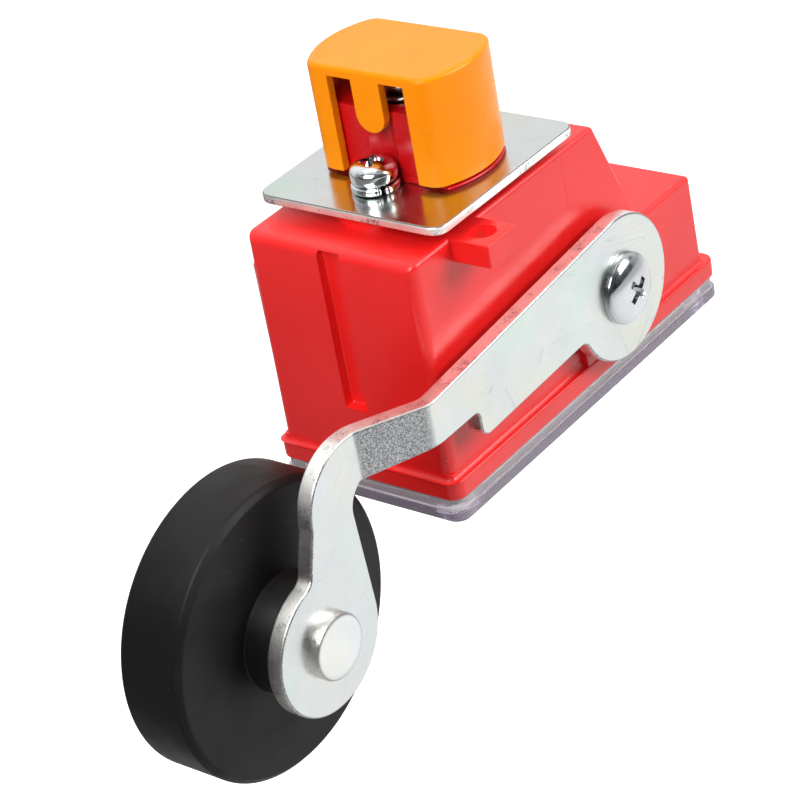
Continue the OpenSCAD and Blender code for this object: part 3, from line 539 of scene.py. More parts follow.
groove_half, groove_low, groove_high = 2.25, 17.0, tall_h - 0.6
groove = rounded_rect((-groove_half, groove_low), (groove_half, groove_high), 0.5, 4)
groove_block = prism("groove", groove, front - 1, front + 2.05, axis="x")
bevel_now(groove_block, 0.45, 3, lambda e: min(v.co.x for v in e.verts) > (front + 1) * MM)
cut_with(housing, groove_block)

through, small_r, bush_bore_r = 1, 1.55, 5.5
above = tall_h + 3.2
bores = []
for s in (-1, 1):
    bores += [("ear_hole", head_x + s * ear_dx, s * (side_top + ear_out / 2), 2.25,
               (tall_h - ear_t - through, tall_h + through)),
              ("insert_bore", head_x + s * screw_dx, 0, 3.2, (roof - insert_l - through, above)),
              ("lug_bore", lug_x, s * (inner_side - 2.4), small_r,
               (lug_low - through, lug_high - through))]
    bores += [("column_bore", s * column_x, t * column_y, small_r,
               (cover_h - through, cover_h + column_h - 2)) for t in (-1, 1)]
bores += [("neck_bore", head_x, 0, 5.0, (roof - through, above))]
for name, x, y, r, reach in bores:
    cut_with(housing, rod(name, x, y, 0, r, reach, "z"))
for name, r, reach in (("near_bore", bush_bore_r, (near_y, near_y + 8)),
                       ("seal_bore", 5.6, (near_y - 1.8, near_y + 0.01)),
                       ("shaft_bore", 4.25, (-side_low - 3, near_y)),
                       ("far_bore", bush_bore_r, (far_y - 7, far_y))):
    cut_with(housing, rod(name, pivot[0], 0, pivot[1], r, reach, "y"))
cut_with(housing, rod("entry", 0, 0, flange_top + 7.6, 5.0, (rear - 4.4, rear + 2.2), "x"))
smooth_by_angle(housing, 38)
even_shading(housing)
finish_piece(housing, "case", "housing_red", red_plastic, "housing")

# ---- Clear base cover ------------------------------------------------------------------
# A moulded clear lid under the housing. Its floor has bare polished edges, and a rim wall,
# corner posts and ribs stand on it; a white foam ring sits in the rim and seals the box.

clear_plastic, n, shader, where = new_material(
    "clear_plastic", IOR=1.46, Roughness=0.06, Transmission_Weight=0.72, Metallic=0.0)
height = n.add("ShaderNodeSeparateXYZ", Vector=where).outputs["Z"]
# Painted shade: below 1.9 mm the lid's floor is coloured a darker purple-grey, for the dim look it has
# where light runs a long way through it.
floor_edge_shade = n.steps(height, 2.05 * MM, 1.9 * MM)
# Painted light: the faint pink of the rim's tone, varied by a slow noise, stands in for the red of the
# housing shining through the clear wall.
cloud = n.steps(n.noise(where, 60.0, 2.0), 0.3, 0.7)
rim_tone = n.mix(cloud, (1.0, 0.97, 0.98, 1), (0.97, 0.92, 0.94, 1))
n.put(shader["Base Color"], n.mix(floor_edge_shade, rim_tone, (0.60, 0.54, 0.66, 1)))
n.put(shader["Normal"], bump(n, n.noise(where, 300.0, 2.0), 0.01))
cover = round_edges(from_cad("base_cover", "clear_cover"), 0.22, 2)
finish_piece(cover, "case", "clear_plastic", clear_plastic, "base_cover")

foam, n, shader, where = new_material("gasket_foam", Roughness=0.85)
pores = n.add("ShaderNodeTexVoronoi", Vector=where, Scale=4200.0).outputs["Distance"]
n.put(shader["Base Color"], n.mix(pores, (0.62, 0.62, 0.58, 1), (0.86, 0.86, 0.82, 1)))
n.put(shader["Normal"], bump(n, pores, 0.05))
gasket = round_edges(from_cad("cover_gasket", "cover_seal"), 0.15, 2)
finish_piece(gasket, "case", "gasket_white", foam, "cover_gasket")

# ---- Head plate ------------------------------------------------------------------------
# A punched steel plate, zinc plated to a satin shine, with small bright marks along its
# sheared rim. Two screws clamp it and the reset head to the housing's bosses.


def plated(name, light, dark, rough, grain=0.004, edge_tone=0.8, rim_rough=0.08,
           facing=(0, 0, 1), lines=0.4, bent=0.0):
    """Zinc plated steel: faint rainbow drift, hairlines, stains and a sheared rim. The rim
    is any face turned away from the sheet's own direction, facing, and a thin near-black
    band runs beside it, on faces that lean part way. Where bent is 1, a face that leans
    towards the X axis is stretched zinc, a coarse, darker, sparkling grain."""
    material, n, shader, where = new_material(name, Metallic=1.0)
    drift = n.noise(where, 55.0, 3.0, 0.55)
    tone = n.mix(n.steps(drift, 0.32, 0.68), light, dark)
    film = n.add("ShaderNodeValToRGB", Fac=n.noise(where, 46.0, 2.0, 0.5))
    ramp = film.color_ramp
    ramp.elements[0].position = 0.34
    ramp.elements[0].color = (0.88, 1.0, 0.96, 1)
    ramp.elements[1].position = 0.66
    ramp.elements[1].color = (1.0, 0.98, 0.88, 1)
    between = ramp.elements.new(0.5)
    between.color = (0.95, 0.95, 1.0, 1)
    tinted = n.add("ShaderNodeMix", i0=0.8, i6=tone, i7=film.outputs["Color"],
                   settings={"data_type": "RGBA", "blend_type": "MULTIPLY"}).outputs[2]
    normal = n.add("ShaderNodeTexCoord").outputs["Normal"]
    facing_share = n.math("ABSOLUTE", n.vector("DOT_PRODUCT", normal, facing))
    rim = n.steps(facing_share, 0.3, 0.6, 1.0, 0.0)
    shear = n.noise(where, 2600.0, 3.0, 0.6)
    torn = n.steps(n.noise(where, 260.0, 4.0, 0.7), 0.52, 0.66)
    rim_tone = n.mix(n.math("MULTIPLY", torn, n.steps(shear, 0.4, 0.6)),
                     (edge_tone, 0.985 * edge_tone, 0.94 * edge_tone, 1),
                     (0.38 * edge_tone,) * 3 + (1,))
    scratches = use(n, hairlines, Spacing=3.0, Amount=lines)["Lines"]
    marked = n.mix(n.math("MULTIPLY", scratches, 0.32), tinted, (0.25, 0.26, 0.26, 1))
    stains = use(n, dust_specks, Spacing=1.7, Size=0.05, Amount=0.3)["Specks"]
    dotted = n.mix(n.math("MULTIPLY", stains, 0.4), marked, (0.2, 0.2, 0.19, 1))
    # A thin near-black band on the faces that lean part way from the sheet's direction, beside the rim.
    dark_edge_band = n.math("MULTIPLY", n.steps(facing_share, 0.6, 0.72), n.steps(facing_share, 0.97, 0.9))
    outlined = n.mix(n.math("MULTIPLY", dark_edge_band, 0.75), dotted, (0.1, 0.1, 0.1, 1))
    flat_tone = n.mix(rim, outlined, rim_tone)
    sparkle = n.noise(where, 3400.0, 2.0, 0.8)
    lean = n.math("ABSOLUTE", n.vector("DOT_PRODUCT", normal, (1, 0, 0)))
    stretched = n.math("MULTIPLY", n.math("MULTIPLY", n.steps(lean, 0.25, 0.5), bent),
                       n.math("SUBTRACT", 1.0, rim))
    grain_tone = n.mix(n.steps(sparkle, 0.4, 0.62), (0.17, 0.175, 0.18, 1), (0.56, 0.57, 0.59, 1))
    n.put(shader["Base Color"], n.mix(stretched, flat_tone, grain_tone))
    smear = n.noise(where, 220.0, 4.0, 0.6)
    flat_rough = n.steps(smear, 0.3, 0.7, rough - 0.04, rough + 0.06)
    worn = n.math("ADD", n.math("MULTIPLY", rim, rim_rough), n.math("MULTIPLY", stretched, 0.12))
    n.put(shader["Roughness"], n.math("ADD", flat_rough, worn))
    pits = bump(n, n.noise(where, 3600.0, 3.0, 0.6), grain)
    torn_bump = bump(n, n.math("MULTIPLY", rim, n.noise(where, 1400.0, 3.0, 0.6)), 0.03, 1.0, pits)
    coarse = bump(n, n.math("MULTIPLY", stretched, sparkle), 0.06, 1.0, torn_bump)
    n.put(shader["Normal"], bump(n, scratches, -0.006, 1.0, coarse))
    return material


plate_zinc = plated("plate_zinc", (0.68, 0.69, 0.66, 1), (0.61, 0.63, 0.61, 1), 0.2,
                    grain=0.002, edge_tone=1.0, rim_rough=0.35)
plate = round_edges(from_cad("mount_plate", "head_plate"), 0.35, 3)
finish_piece(plate, "case", "zinc_plate", plate_zinc, "mount_plate")

# ---- Screws ----------------------------------------------------------------------------
# Pan head machine screws with a cross recess, bright zinc plated. One Geometry Nodes tree
# sets the finished screw, head, recess and thread, at each of its places.


def plain_metal(name, base, rough, **plain):
    """Bare or plated metal: a slow drift of tone, fine machining marks and smears."""
    material, n, shader, where = new_material(name, Metallic=1.0, **plain)
    light = tuple(min(1.0, c * 1.08) for c in base) + (1,)
    dark = tuple(c * 0.86 for c in base) + (1,)
    n.put(shader["Base Color"], n.mix(n.steps(n.noise(where, 140.0, 3.0), 0.3, 0.7), light, dark))
    n.put(shader["Roughness"], n.steps(n.noise(where, 420.0, 3.0), 0.3, 0.7,
                                       rough - 0.04, rough + 0.05))
    n.put(shader["Normal"], bump(n, n.noise(where, 3000.0, 2.0), 0.02 * rough))
    return material


screw_zinc = plain_metal("screw_zinc", (0.78, 0.80, 0.82), 0.11)


def screw_shape(name, head_d, head_h, shank_d, length, crown):
    """One screw: a domed head with a round belly, and a threaded shank that runs down."""
    r = head_d / 2
    belly = min(0.9, (head_h - crown) / 2)
    profile = [(0.0, head_h)]
    for i in range(1, 13):
        a = math.radians(90 * i / 12)
        profile.append((r * math.sin(a), head_h - crown + crown * math.cos(a)))
    for i in range(7):
        a = math.radians(90 * i / 6)
        profile.append((r - belly * (1 - math.cos(a)), belly - belly * math.sin(a)))
    profile.append((shank_d / 2, 0.0))
    z = 0.0
    pitch = shank_d * 0.16
    core = shank_d / 2 - pitch * 0.5
    while z > -length + 2 * pitch:
        profile += [(shank_d / 2, z - pitch * 0.1), (core, z - pitch * 0.5),
                    (shank_d / 2, z - pitch)]
        z -= pitch
    profile += [(shank_d / 2, -length + 0.5), (core - 0.3, -length), (0.0, -length)]
    return turned(name, profile, 48)


def cut_cross(head, size, depth, top):
    """Cuts a tapered cross recess into a head whose crown is at top, one bar at a time."""
    wide, narrow = size / 2, size / 8
    for turn in (0, 90):
        rings = []
        for z, grow in ((top - depth, 0.35), (top - depth * 0.55, 0.82), (top + 0.6, 1.0)):
            x, y = wide * grow, narrow * (0.75 + 0.25 * grow)
            rings.append(([(-x, -y), (x, -y), (x, y), (-x, y)], z))
        bar = stack(head.name + "_bar", rings)
        bar.data.transform(Matrix.Rotation(math.radians(turn), 4, "Z"))
        cut_with(head, bar)
    return head


def points_piece(name, points, shape, material):
    """Copies shape onto points with Geometry Nodes, each by its own turn."""
    cloud = bpy.data.meshes.new(name)
    cloud.from_pydata([p for p, _ in points], [], [])
    turns = cloud.attributes.new("turn", "FLOAT_VECTOR", "POINT")
    turns.data.foreach_set("vector", [c for _, turn in points for c in turn])
    holder = bpy.data.objects.new(name, cloud)
    bpy.context.scene.collection.objects.link(holder)
    tree = bpy.data.node_groups.new(name + "_nodes", "GeometryNodeTree")
    face = tree.interface
    face.new_socket("Geometry", in_out="INPUT", socket_type="NodeSocketGeometry")
    shape_socket = face.new_socket("Shape", in_out="INPUT", socket_type="NodeSocketObject")
    scale_socket = face.new_socket("Scale", in_out="INPUT", socket_type="NodeSocketFloat")
    finish_socket = face.new_socket("Finish", in_out="INPUT", socket_type="NodeSocketMaterial")
    face.new_socket("Geometry", in_out="OUTPUT", socket_type="NodeSocketGeometry")
    g = Nodes(tree)
    given = g.add("NodeGroupInput").outputs
    info = g.add("GeometryNodeObjectInfo", Object=given["Shape"])
    turn = g.add("GeometryNodeInputNamedAttribute", Name="turn",
                 settings={"data_type": "FLOAT_VECTOR"})
    rotation = g.add("FunctionNodeEulerToRotation", Euler=turn.outputs[0])
    copies = g.add("GeometryNodeInstanceOnPoints", Points=given["Geometry"],
                   Instance=info.outputs["Geometry"], Rotation=rotation.outputs[0],
                   Scale=given["Scale"])
    real = g.add("GeometryNodeRealizeInstances", Geometry=copies.outputs[0])
    painted = g.add("GeometryNodeSetMaterial", Geometry=real.outputs[0],
                    Material=given["Finish"])
    g.put(g.add("NodeGroupOutput").inputs["Geometry"], painted.outputs[0])
    made = holder.modifiers.new("copies", "NODES")
    made.node_group = tree
    made[shape_socket.identifier] = shape
    made[scale_socket.identifier] = 1.0
    made[finish_socket.identifier] = material
    settle(holder)
    bpy.data.objects.remove(shape)
    return holder


def screws(name, body, slot, material, nodes, places, head_d, head_h, shank_d, length, crown,
           recess):
    """A set of like screws at places, each a point and its turn."""
    shape = screw_shape(name + "_head", head_d, head_h, shank_d, length, crown)
    head = cut_cross(shape, recess, head_h * 0.62, head_h)
    made = points_piece(name, places, head, material)
    smooth_by_angle(made, 38)
    return finish_piece(made, body, slot, material, *nodes)


def middle(node):
    """Centre of a CAD node's box."""
    low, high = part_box(node)
    return (low + high) / 2


washer_low, washer_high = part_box("spring_washers")
plate_screw_places = [(Vector(((head_x + s * screw_dx) * MM, 0, washer_high.z)),
                       (0, 0, math.radians(turn))) for s, turn in ((-1, 24), (1, 61))]
screws("plate_screw_set", "case", "zinc_screw", screw_zinc, ["plate_screws"],
       plate_screw_places, 2 * plate_head_r, 3.6, 3.9, 11, 1.9, 4.4)

# ---- Spring washers --------------------------------------------------------------------
# Split lock washers coiled from square wire: each is one turn that does not close, its two
# cut ends a little apart and one above the other.


def split_washer(name, d_out, d_in, height, lift, gap_angle, steps=60):
    """A ring of square wire that rises by lift over its one turn, open by the gap."""
    span = math.radians(360 - gap_angle)
    verts, faces = [], []
    for i in range(steps + 1):
        a = math.radians(gap_angle / 2) + span * i / steps
        rise = lift * i / steps
        for r, z in ((d_in / 2, 0), (d_out / 2, 0), (d_out / 2, height), (d_in / 2, height)):
            verts.append((r * math.cos(a) * MM, r * math.sin(a) * MM, (z + rise) * MM))
    for i in range(steps):
        for k in range(4):
            m = (k + 1) % 4
            faces.append([4 * i + k, 4 * i + m, 4 * i + 4 + m, 4 * i + 4 + k][::-1])
    faces += [[0, 1, 2, 3], [4 * steps + k for k in (3, 2, 1, 0)]]
    return mesh_piece(name, verts, faces)


washer_places = [(Vector(((head_x + s * screw_dx) * MM, 0, washer_low.z)),
                  (0, 0, math.radians(turn))) for s, turn in ((-1, -123), (1, 57))]
washer_shape = split_washer("lock_washer", 8.1, 4.5, 1.3, 0.2, 8)
lock_washers = points_piece("lock_washers", washer_places, washer_shape, screw_zinc)
round_edges(lock_washers, 0.5, 5, 40)
finish_piece(lock_washers, "case", "zinc_screw", screw_zinc, "spring_washers")

# ---- Reset head ------------------------------------------------------------------------
# A deep red moulded guide stands on the plate, and a hollow orange cap slides over it. A
# snap tongue hangs in the window of each flat, and a steel plunger is pressed in the top.

guide_plastic = moulded("guide_plastic", (205, 12, 22), (188, 8, 16), 0.28, specks=0.25,
                        Subsurface_Weight=0.05, Subsurface_Scale=0.5 * MM)
guide = round_edges(from_cad("reset_guide", "guide_core"), 0.3, 3)
finish_piece(guide, "case", "guide_red", guide_plastic, "reset_guide")

cap_plastic = moulded("cap_plastic", (255, 149, 1), (254, 143, 1), 0.25, texture=0.006,
                      specks=0.2, Subsurface_Weight=0.08, Subsurface_Scale=0.5 * MM,
                      Subsurface_Radius=(1.0, 0.5, 0.1), Specular_IOR_Level=0.22)


def head_outline(d, flat, corner=0.0, steps=28):
    """A round of diameter d cut by two flats that face along X, in millimetres. Where the
    round meets a flat, the corner is eased over that length."""
    r = d / 2
    open_a = math.acos(flat / 2 / r) + corner / r
    edge = (flat / 2, r * math.sin(open_a - corner / r))
    points = []
    for side in (1, -1):
        curve = [(side * r * math.cos(a), side * r * math.sin(a))
                 for a in (open_a + (math.pi - 2 * open_a) * i / steps for i in range(steps + 1))]
        points += curve
        if corner:
            at = (-side * edge[0], side * edge[1])
            below = (at[0], at[1] - side * corner)
            points += [ease_point(curve[-1], at, below, t / 6) for t in range(1, 7)]
            at = (-side * edge[0], -side * edge[1])
            above = (at[0], at[1] + side * corner)
            curve_end = (-side * r * math.cos(open_a), -side * r * math.sin(open_a))
            points += [ease_point(above, at, curve_end, t / 6) for t in range(6)]
    return points


def ease_point(start, corner, end, t):
    """A point on the small arc that eases a corner."""
    return tuple((1 - t) ** 2 * a + 2 * t * (1 - t) * c + t * t * b
                 for a, c, b in zip(start, corner, end))


cap_low, cap_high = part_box("reset_cap")
cap_x = (cap_low.x + cap_high.x) / 2
cap_flat = (cap_high.x - cap_low.x) / MM
cap_round = (cap_high.y - cap_low.y) / MM
cap_wall, cap_top = 1.6, 1.7
cap_tall = (cap_high.z - cap_low.z) / MM
cap = prism("reset_button", head_outline(cap_round, cap_flat, 1.6), 0, cap_tall)
bevel_now(cap, 0.8, 5, lambda e: min(v.co.z for v in e.verts) > cap_tall * 0.9 * MM)
cavity = prism("cavity", head_outline(cap_round - 2 * cap_wall, cap_flat - 2 * cap_wall),
               -1, cap_tall - cap_top)
cut_with(cap, cavity)
window_w, tongue_w, tongue_l = 15.1, 5.6, 8.9
window_top = cap_tall - cap_top
for side in (-1, 1):
    half = window_w / 2
    tip = window_top - tongue_l + tongue_w / 2
    tongue = [(tongue_w / 2 * math.cos(math.radians(a)), tip + tongue_w / 2 * math.sin(math.radians(a)))
              for a in range(180, 361, 12)]
    window = [(-half, -1), (half, -1), (half, window_top), (tongue_w / 2, window_top)]
    window += tongue[::-1] + [(-tongue_w / 2, window_top), (-half, window_top)]
    reach = sorted((side * (cap_flat / 2 + 1), side * (cap_flat / 2 - cap_wall - 0.2)))
    cut_with(cap, prism("window", window, *reach, axis="x"))
shift(cap, cap_x, 0, cap_low.z)
round_edges(cap, 0.14, 2, 50)
finish_piece(cap, "cap", "cap_orange", cap_plastic, "reset_cap")

# ---- Lever -----------------------------------------------------------------------------
# One blanked steel strip, 3 mm thick: a round boss at the shaft, a straight arm with a stop
# notch, a joggle that brings the end in line with the roller, an elbow and a round end.
# It is zinc plated; the sheared rim is rough, and the bent stretch has a coarse grain.

lever_low, lever_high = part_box("lever")
axle = (middle("roller").x / MM, middle("roller").z / MM)
lever_t = 3.0
disc_r = (lever_high.z / MM) - pivot[1]
end_r = axle[1] - lever_low.z / MM
arm_out = lever_low.y / MM
end_in = lever_high.y / MM
end_out = end_in - lever_t
joggle_start, joggle_l = front - 6.6, 11.4
joggle_end = joggle_start - joggle_l
arm_front_top, arm_front_low = 27.3, 19.5
elbow_r, elbow_in_r, end_fillet = 10.4, 4.2, 2.4


def lever_outline():
    """The lever seen from the side as (x, z), millimetres, counter-clockwise."""
    reach = (joggle_start - pivot[0], arm_front_top - pivot[1])
    top_a = math.degrees(math.atan2(reach[1], reach[0])
                         - math.acos(disc_r / math.hypot(*reach)))
    neck_r, neck_z = 2.4, 15.4
    neck_drop = pivot[1] - neck_z + neck_r
    neck_reach = math.sqrt((disc_r + neck_r) ** 2 - neck_drop ** 2)
    neck_a = math.degrees(math.atan2(neck_drop, neck_reach))
    points = arc(*pivot, disc_r, neck_a - 180, top_a, 90)
    points += [(joggle_start, arm_front_top)]
    elbow = (joggle_end - 2.6, arm_front_top - elbow_r)
    leg_out = axle[0] - 0.9
    fillet_x = leg_out - end_fillet
    fillet_z = axle[1] + math.sqrt((end_r + end_fillet) ** 2 - (axle[0] - fillet_x) ** 2)
    fillet_a = math.degrees(math.atan2(fillet_z - axle[1], fillet_x - axle[0]))
    points += arc(*elbow, elbow_r, 90, 180, 22)
    points += arc(fillet_x, fillet_z, end_fillet, 0, fillet_a - 180, 8)
    inner = (elbow[0] - 0.7 + elbow_in_r, arm_front_top - 8.6 - elbow_in_r)
    gap = (inner[0] - elbow_in_r - axle[0], inner[1] - axle[1])
    tangent_a = math.degrees(math.atan2(gap[1], gap[0]) - math.acos(end_r / math.hypot(*gap)))
    points += arc(*axle, end_r, fillet_a + 3, 360 + tangent_a, 64)
    points += arc(*inner, elbow_in_r, 180, 90, 12)
    points += [(joggle_start, arm_front_low)]
    notch_x, notch_r, heel_r = front + 4.1, 1.2, 2.0
    notch_top, heel_z = arm_front_low, 14.4
    points += arc(notch_x - notch_r, notch_top - notch_r, notch_r, 90, 0, 8)
    points += arc(notch_x + heel_r, heel_z + heel_r, heel_r, 180, 270, 10)
    points += arc(pivot[0] - neck_reach, neck_z - neck_r, neck_r, 90, neck_a + 3, 10)
    return points


def joggle_share(x):
    """How much of the joggle's slope there is at x: 0 on the flats, 1 on the bent stretch."""
    bend = 1.9
    def ease(t):
        t = min(max(t, 0.0), 1.0)
        return t * t * (3 - 2 * t)
    return (ease((joggle_start + bend - x) / (2 * bend))
            * ease((x - joggle_end + bend) / (2 * bend)))


def lever_mesh():
    bm = bmesh.new()
    face = bm.faces.new([bm.verts.new((x, 0, z)) for x, z in lever_outline()])
    face.normal_update()
    x = joggle_start + 4
    while x > joggle_end - 4:
        bmesh.ops.bisect_plane(bm, geom=bm.verts[:] + bm.edges[:] + bm.faces[:],
                               plane_co=(x, 0, 0), plane_no=(1, 0, 0), dist=0.0001)
        x -= 0.4
    bmesh.ops.triangulate(bm, faces=bm.faces[:], ngon_method="BEAUTY")
    slope = (end_out - arm_out) / joggle_l
    table, y, x, step = {}, arm_out + lever_t / 2, joggle_start + 6, 0.02
    while x > joggle_end - 6:
        table[round(x / step)] = y
        y += slope * joggle_share(x) * step
        x -= step
    verts = [v.co.copy() for v in bm.verts]
    bm.verts.index_update()
    faces = [[v.index for v in f.verts] for f in bm.faces]
    rim = [(l.vert.index, l.link_loop_next.vert.index)
           for f in bm.faces for l in f.loops if len(l.edge.link_faces) == 1]
    bm.free()
    placed = {-1: [], 1: []}
    for co in verts:
        m = slope * joggle_share(co.x)
        size = math.hypot(m, 1)
        if co.x > joggle_start + 5.9:
            y = arm_out + lever_t / 2
        elif co.x < joggle_end - 5.9:
            y = end_out + lever_t / 2
        else:
            y = table[round(co.x / step)]
        for side in (-1, 1):
            placed[side].append((( co.x + side * m / size * lever_t / 2) * MM,
                                 (y + side / size * lever_t / 2) * MM, co.z * MM))
    count = len(verts)
    solid = [list(f) for f in faces] + [[i + count for i in reversed(f)] for f in faces]
    solid += [[b, a, a + count, b + count] for a, b in rim]
    return placed[-1] + placed[1], solid


def join_flat_faces(piece):
    """Joins faces that lie in one plane, so that a bevel runs along them cleanly."""
    bm = bmesh.new()
    bm.from_mesh(piece.data)
    bmesh.ops.dissolve_limit(bm, angle_limit=math.radians(0.3), verts=bm.verts,
                             edges=bm.edges, use_dissolve_boundaries=False)
    bm.to_mesh(piece.data)
    bm.free()
    return piece


lever = mesh_piece("lever_strip", *lever_mesh())
outward(lever)
square = 6.1 / 2
hole = prism("square_hole", [(pivot[0] + sx * square, pivot[1] + sz * square)
                             for sx, sz in ((-1, -1), (1, -1), (1, 1), (-1, 1))],
             arm_out - 1, arm_out + lever_t + 1, axis="y")
cut_with(lever, hole)
cut_with(lever, prism("axle_hole", arc(*axle, 3.05, 0, 352.5, 47), end_out - 1, end_in + 1,
                      axis="y"))
join_flat_faces(lever)
round_edges(lever, 0.4, 3, 50)
lever_zinc = plated("lever_zinc", (0.66, 0.675, 0.65, 1), (0.60, 0.63, 0.61, 1), 0.28,
                    grain=0.005, edge_tone=0.92, facing=(0, 1, 0), lines=0.43, bent=1.0)
finish_piece(lever, "lever_arm", "zinc_lever", lever_zinc, "lever")

# ---- Lever screw and rivet -------------------------------------------------------------
# A wide truss head screw holds the lever on the squared shaft. The roller turns on a steel
# rivet whose flat head is formed over the lever's outer face.


def face_out(piece, x, y, z):
    """Turns a piece that stands on Z to face -Y, and puts it at a point in millimetres."""
    piece.data.transform(Matrix.Translation(Vector((x, y, z)) * MM)
                         @ Matrix.Rotation(math.radians(90), 4, "X"))
    return piece


truss_r, truss_h, truss_rim = 6.2, 3.0, 0.75
dome = [(0.0, truss_h)]
dome += [(truss_r * math.sin(a), truss_rim + (truss_h - truss_rim) * math.cos(a) ** 1.15)
         for a in (math.radians(90 * i / 18) for i in range(1, 18))]
dome += [(truss_r, truss_rim - 0.03), (truss_r, 0.15), (truss_r - 0.15, 0.0), (2.0, 0.0),
         (2.0, -9.0), (0.0, -9.0)]
truss = cut_cross(turned("lever_truss_screw", dome), 5.4, 1.7, truss_h)
truss.data.transform(Matrix.Rotation(math.radians(38), 4, "Z"))
face_out(truss, pivot[0], arm_out, pivot[1])
smooth_by_angle(truss)
truss_zinc = plain_metal("truss_zinc", (0.60, 0.62, 0.64), 0.12)
finish_piece(truss, "lever_arm", "zinc_screw", truss_zinc, "lever_screw")

rivet_r, rivet_h = 5.5, 2.0
roller_low, roller_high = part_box("roller")
hub_face = roller_low.y / MM
far_face = roller_high.y / MM
far_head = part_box("roller_rivet")[1].y / MM
rivet_profile = [(0.0, rivet_h), (rivet_r - 1.3, rivet_h), (rivet_r - 0.5, rivet_h - 0.04),
                 (rivet_r - 0.15, rivet_h - 0.22), (rivet_r, rivet_h - 0.55), (rivet_r, 0.0),
                 (3.0, 0.0), (3.0, -lever_t), (3.95, -lever_t)]
far_start = end_out - far_face - 0.35
rivet_profile += [(3.95, far_start), (6.0, far_start), (6.0, end_out - far_head + 0.3),
                  (5.7, end_out - far_head), (0.0, end_out - far_head)]
rivet = turned("axle_rivet", rivet_profile)
face_out(rivet, axle[0], end_out, axle[1])
smooth_by_angle(rivet)
rivet_zinc = plated("rivet_zinc", (0.74, 0.76, 0.74, 1), (0.68, 0.70, 0.69, 1), 0.3,
                    grain=0.006, facing=(0, 1, 0), lines=0.3)
finish_piece(rivet, "lever_arm", "zinc_lever", rivet_zinc, "roller_rivet")

# ---- Roller ----------------------------------------------------------------------------
# A turned black nylon wheel with chamfered rims and a hub that stands out to the lever, a
# bronze bush pressed in its bore, and a thin steel washer between the hub and the lever.

roller_black, n, shader, where = new_material("roller_black", IOR=1.5,
                                              Specular_IOR_Level=0.16)
from_axle = n.vector("SUBTRACT", where, (axle[0] * MM, 0, axle[1] * MM))
radius = n.vector("LENGTH", n.vector("MULTIPLY", from_axle, (1, 0, 1)))
along = n.add("ShaderNodeSeparateXYZ", Vector=where).outputs["Y"]
lines = n.noise(n.add("ShaderNodeCombineXYZ", X=radius, Y=along).outputs[0], 2600.0, 2.0)
tone = n.mix(n.steps(n.noise(where, 70.0, 3.0), 0.35, 0.65), colour(21, 20, 20),
             colour(30, 28, 28))
specks = use(n, dust_specks, Spacing=1.5, Size=0.03, Amount=0.22)["Specks"]
n.put(shader["Base Color"], n.mix(n.math("MULTIPLY", specks, 0.75), tone, (0.7, 0.67, 0.62, 1)))
n.put(shader["Roughness"], n.steps(n.noise(where, 190.0, 4.0, 0.65), 0.3, 0.7, 0.38, 0.52))
turning = bump(n, lines, 0.02, 0.6)
n.put(shader["Normal"], bump(n, n.noise(where, 3000.0, 3.0, 0.6), 0.012, 1.0, turning))

wheel_r = roller_high.z / MM - axle[1]
bush_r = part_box("roller_bush")[1].x / MM - axle[0]
hub_r, chamfer = 10.0, 1.0
wheel_half = far_face


def rounded(corner, before, after, cut, steps=4):
    """A corner of a profile replaced by a small arc between its two neighbours."""
    corner, before, after = (Vector(p) for p in (corner, before, after))
    start = corner + (before - corner).normalized() * cut
    end = corner + (after - corner).normalized() * cut
    points = []
    for i in range(steps + 1):
        t = i / steps
        points.append(tuple((1 - t) ** 2 * start + 2 * t * (1 - t) * corner + t * t * end))
    return points


raw = [(bush_r, -wheel_half), (wheel_r - chamfer, -wheel_half),
       (wheel_r, -wheel_half + chamfer), (wheel_r, wheel_half - chamfer),
       (wheel_r - chamfer, wheel_half), (hub_r, wheel_half),
       (hub_r - 0.6, -hub_face), (bush_r, -hub_face)]
wheel_profile = []
for k, corner in enumerate(raw):
    wheel_profile += rounded(corner, raw[k - 1], raw[(k + 1) % len(raw)], 0.3)
wheel = turned("roller_wheel_body", wheel_profile, 160)
face_out(wheel, axle[0], 0, axle[1])
smooth_by_angle(wheel, 40)
finish_piece(wheel, "roller_wheel", "roller_black", roller_black, "roller")

# ---- Works inside the housing ----------------------------------------------------------
# What can be seen through the clear cover and past the lever: turned, pressed and moulded
# parts of the switch. Each keeps its CAD shape, with its edges broken as the real ones are.


ground_steel = plain_metal("ground_steel", (0.62, 0.62, 0.63), 0.2)
spring_steel = plain_metal("spring_steel", (0.4, 0.4, 0.42), 0.3)
brass = plain_metal("brass", (0.83, 0.62, 0.27), 0.28)
bronze = plain_metal("bronze", (0.62, 0.42, 0.2), 0.38)
copper = plain_metal("copper", (0.86, 0.47, 0.3), 0.25)
seal_black = moulded("seal_black", (30, 30, 30), (22, 22, 22), 0.55, specks=0.3)
block_black = moulded("block_black", (38, 38, 41), (30, 30, 33), 0.42, specks=0.3)
slide_cream = moulded("slide_cream", (236, 230, 208), (226, 219, 195), 0.4, specks=0.2)

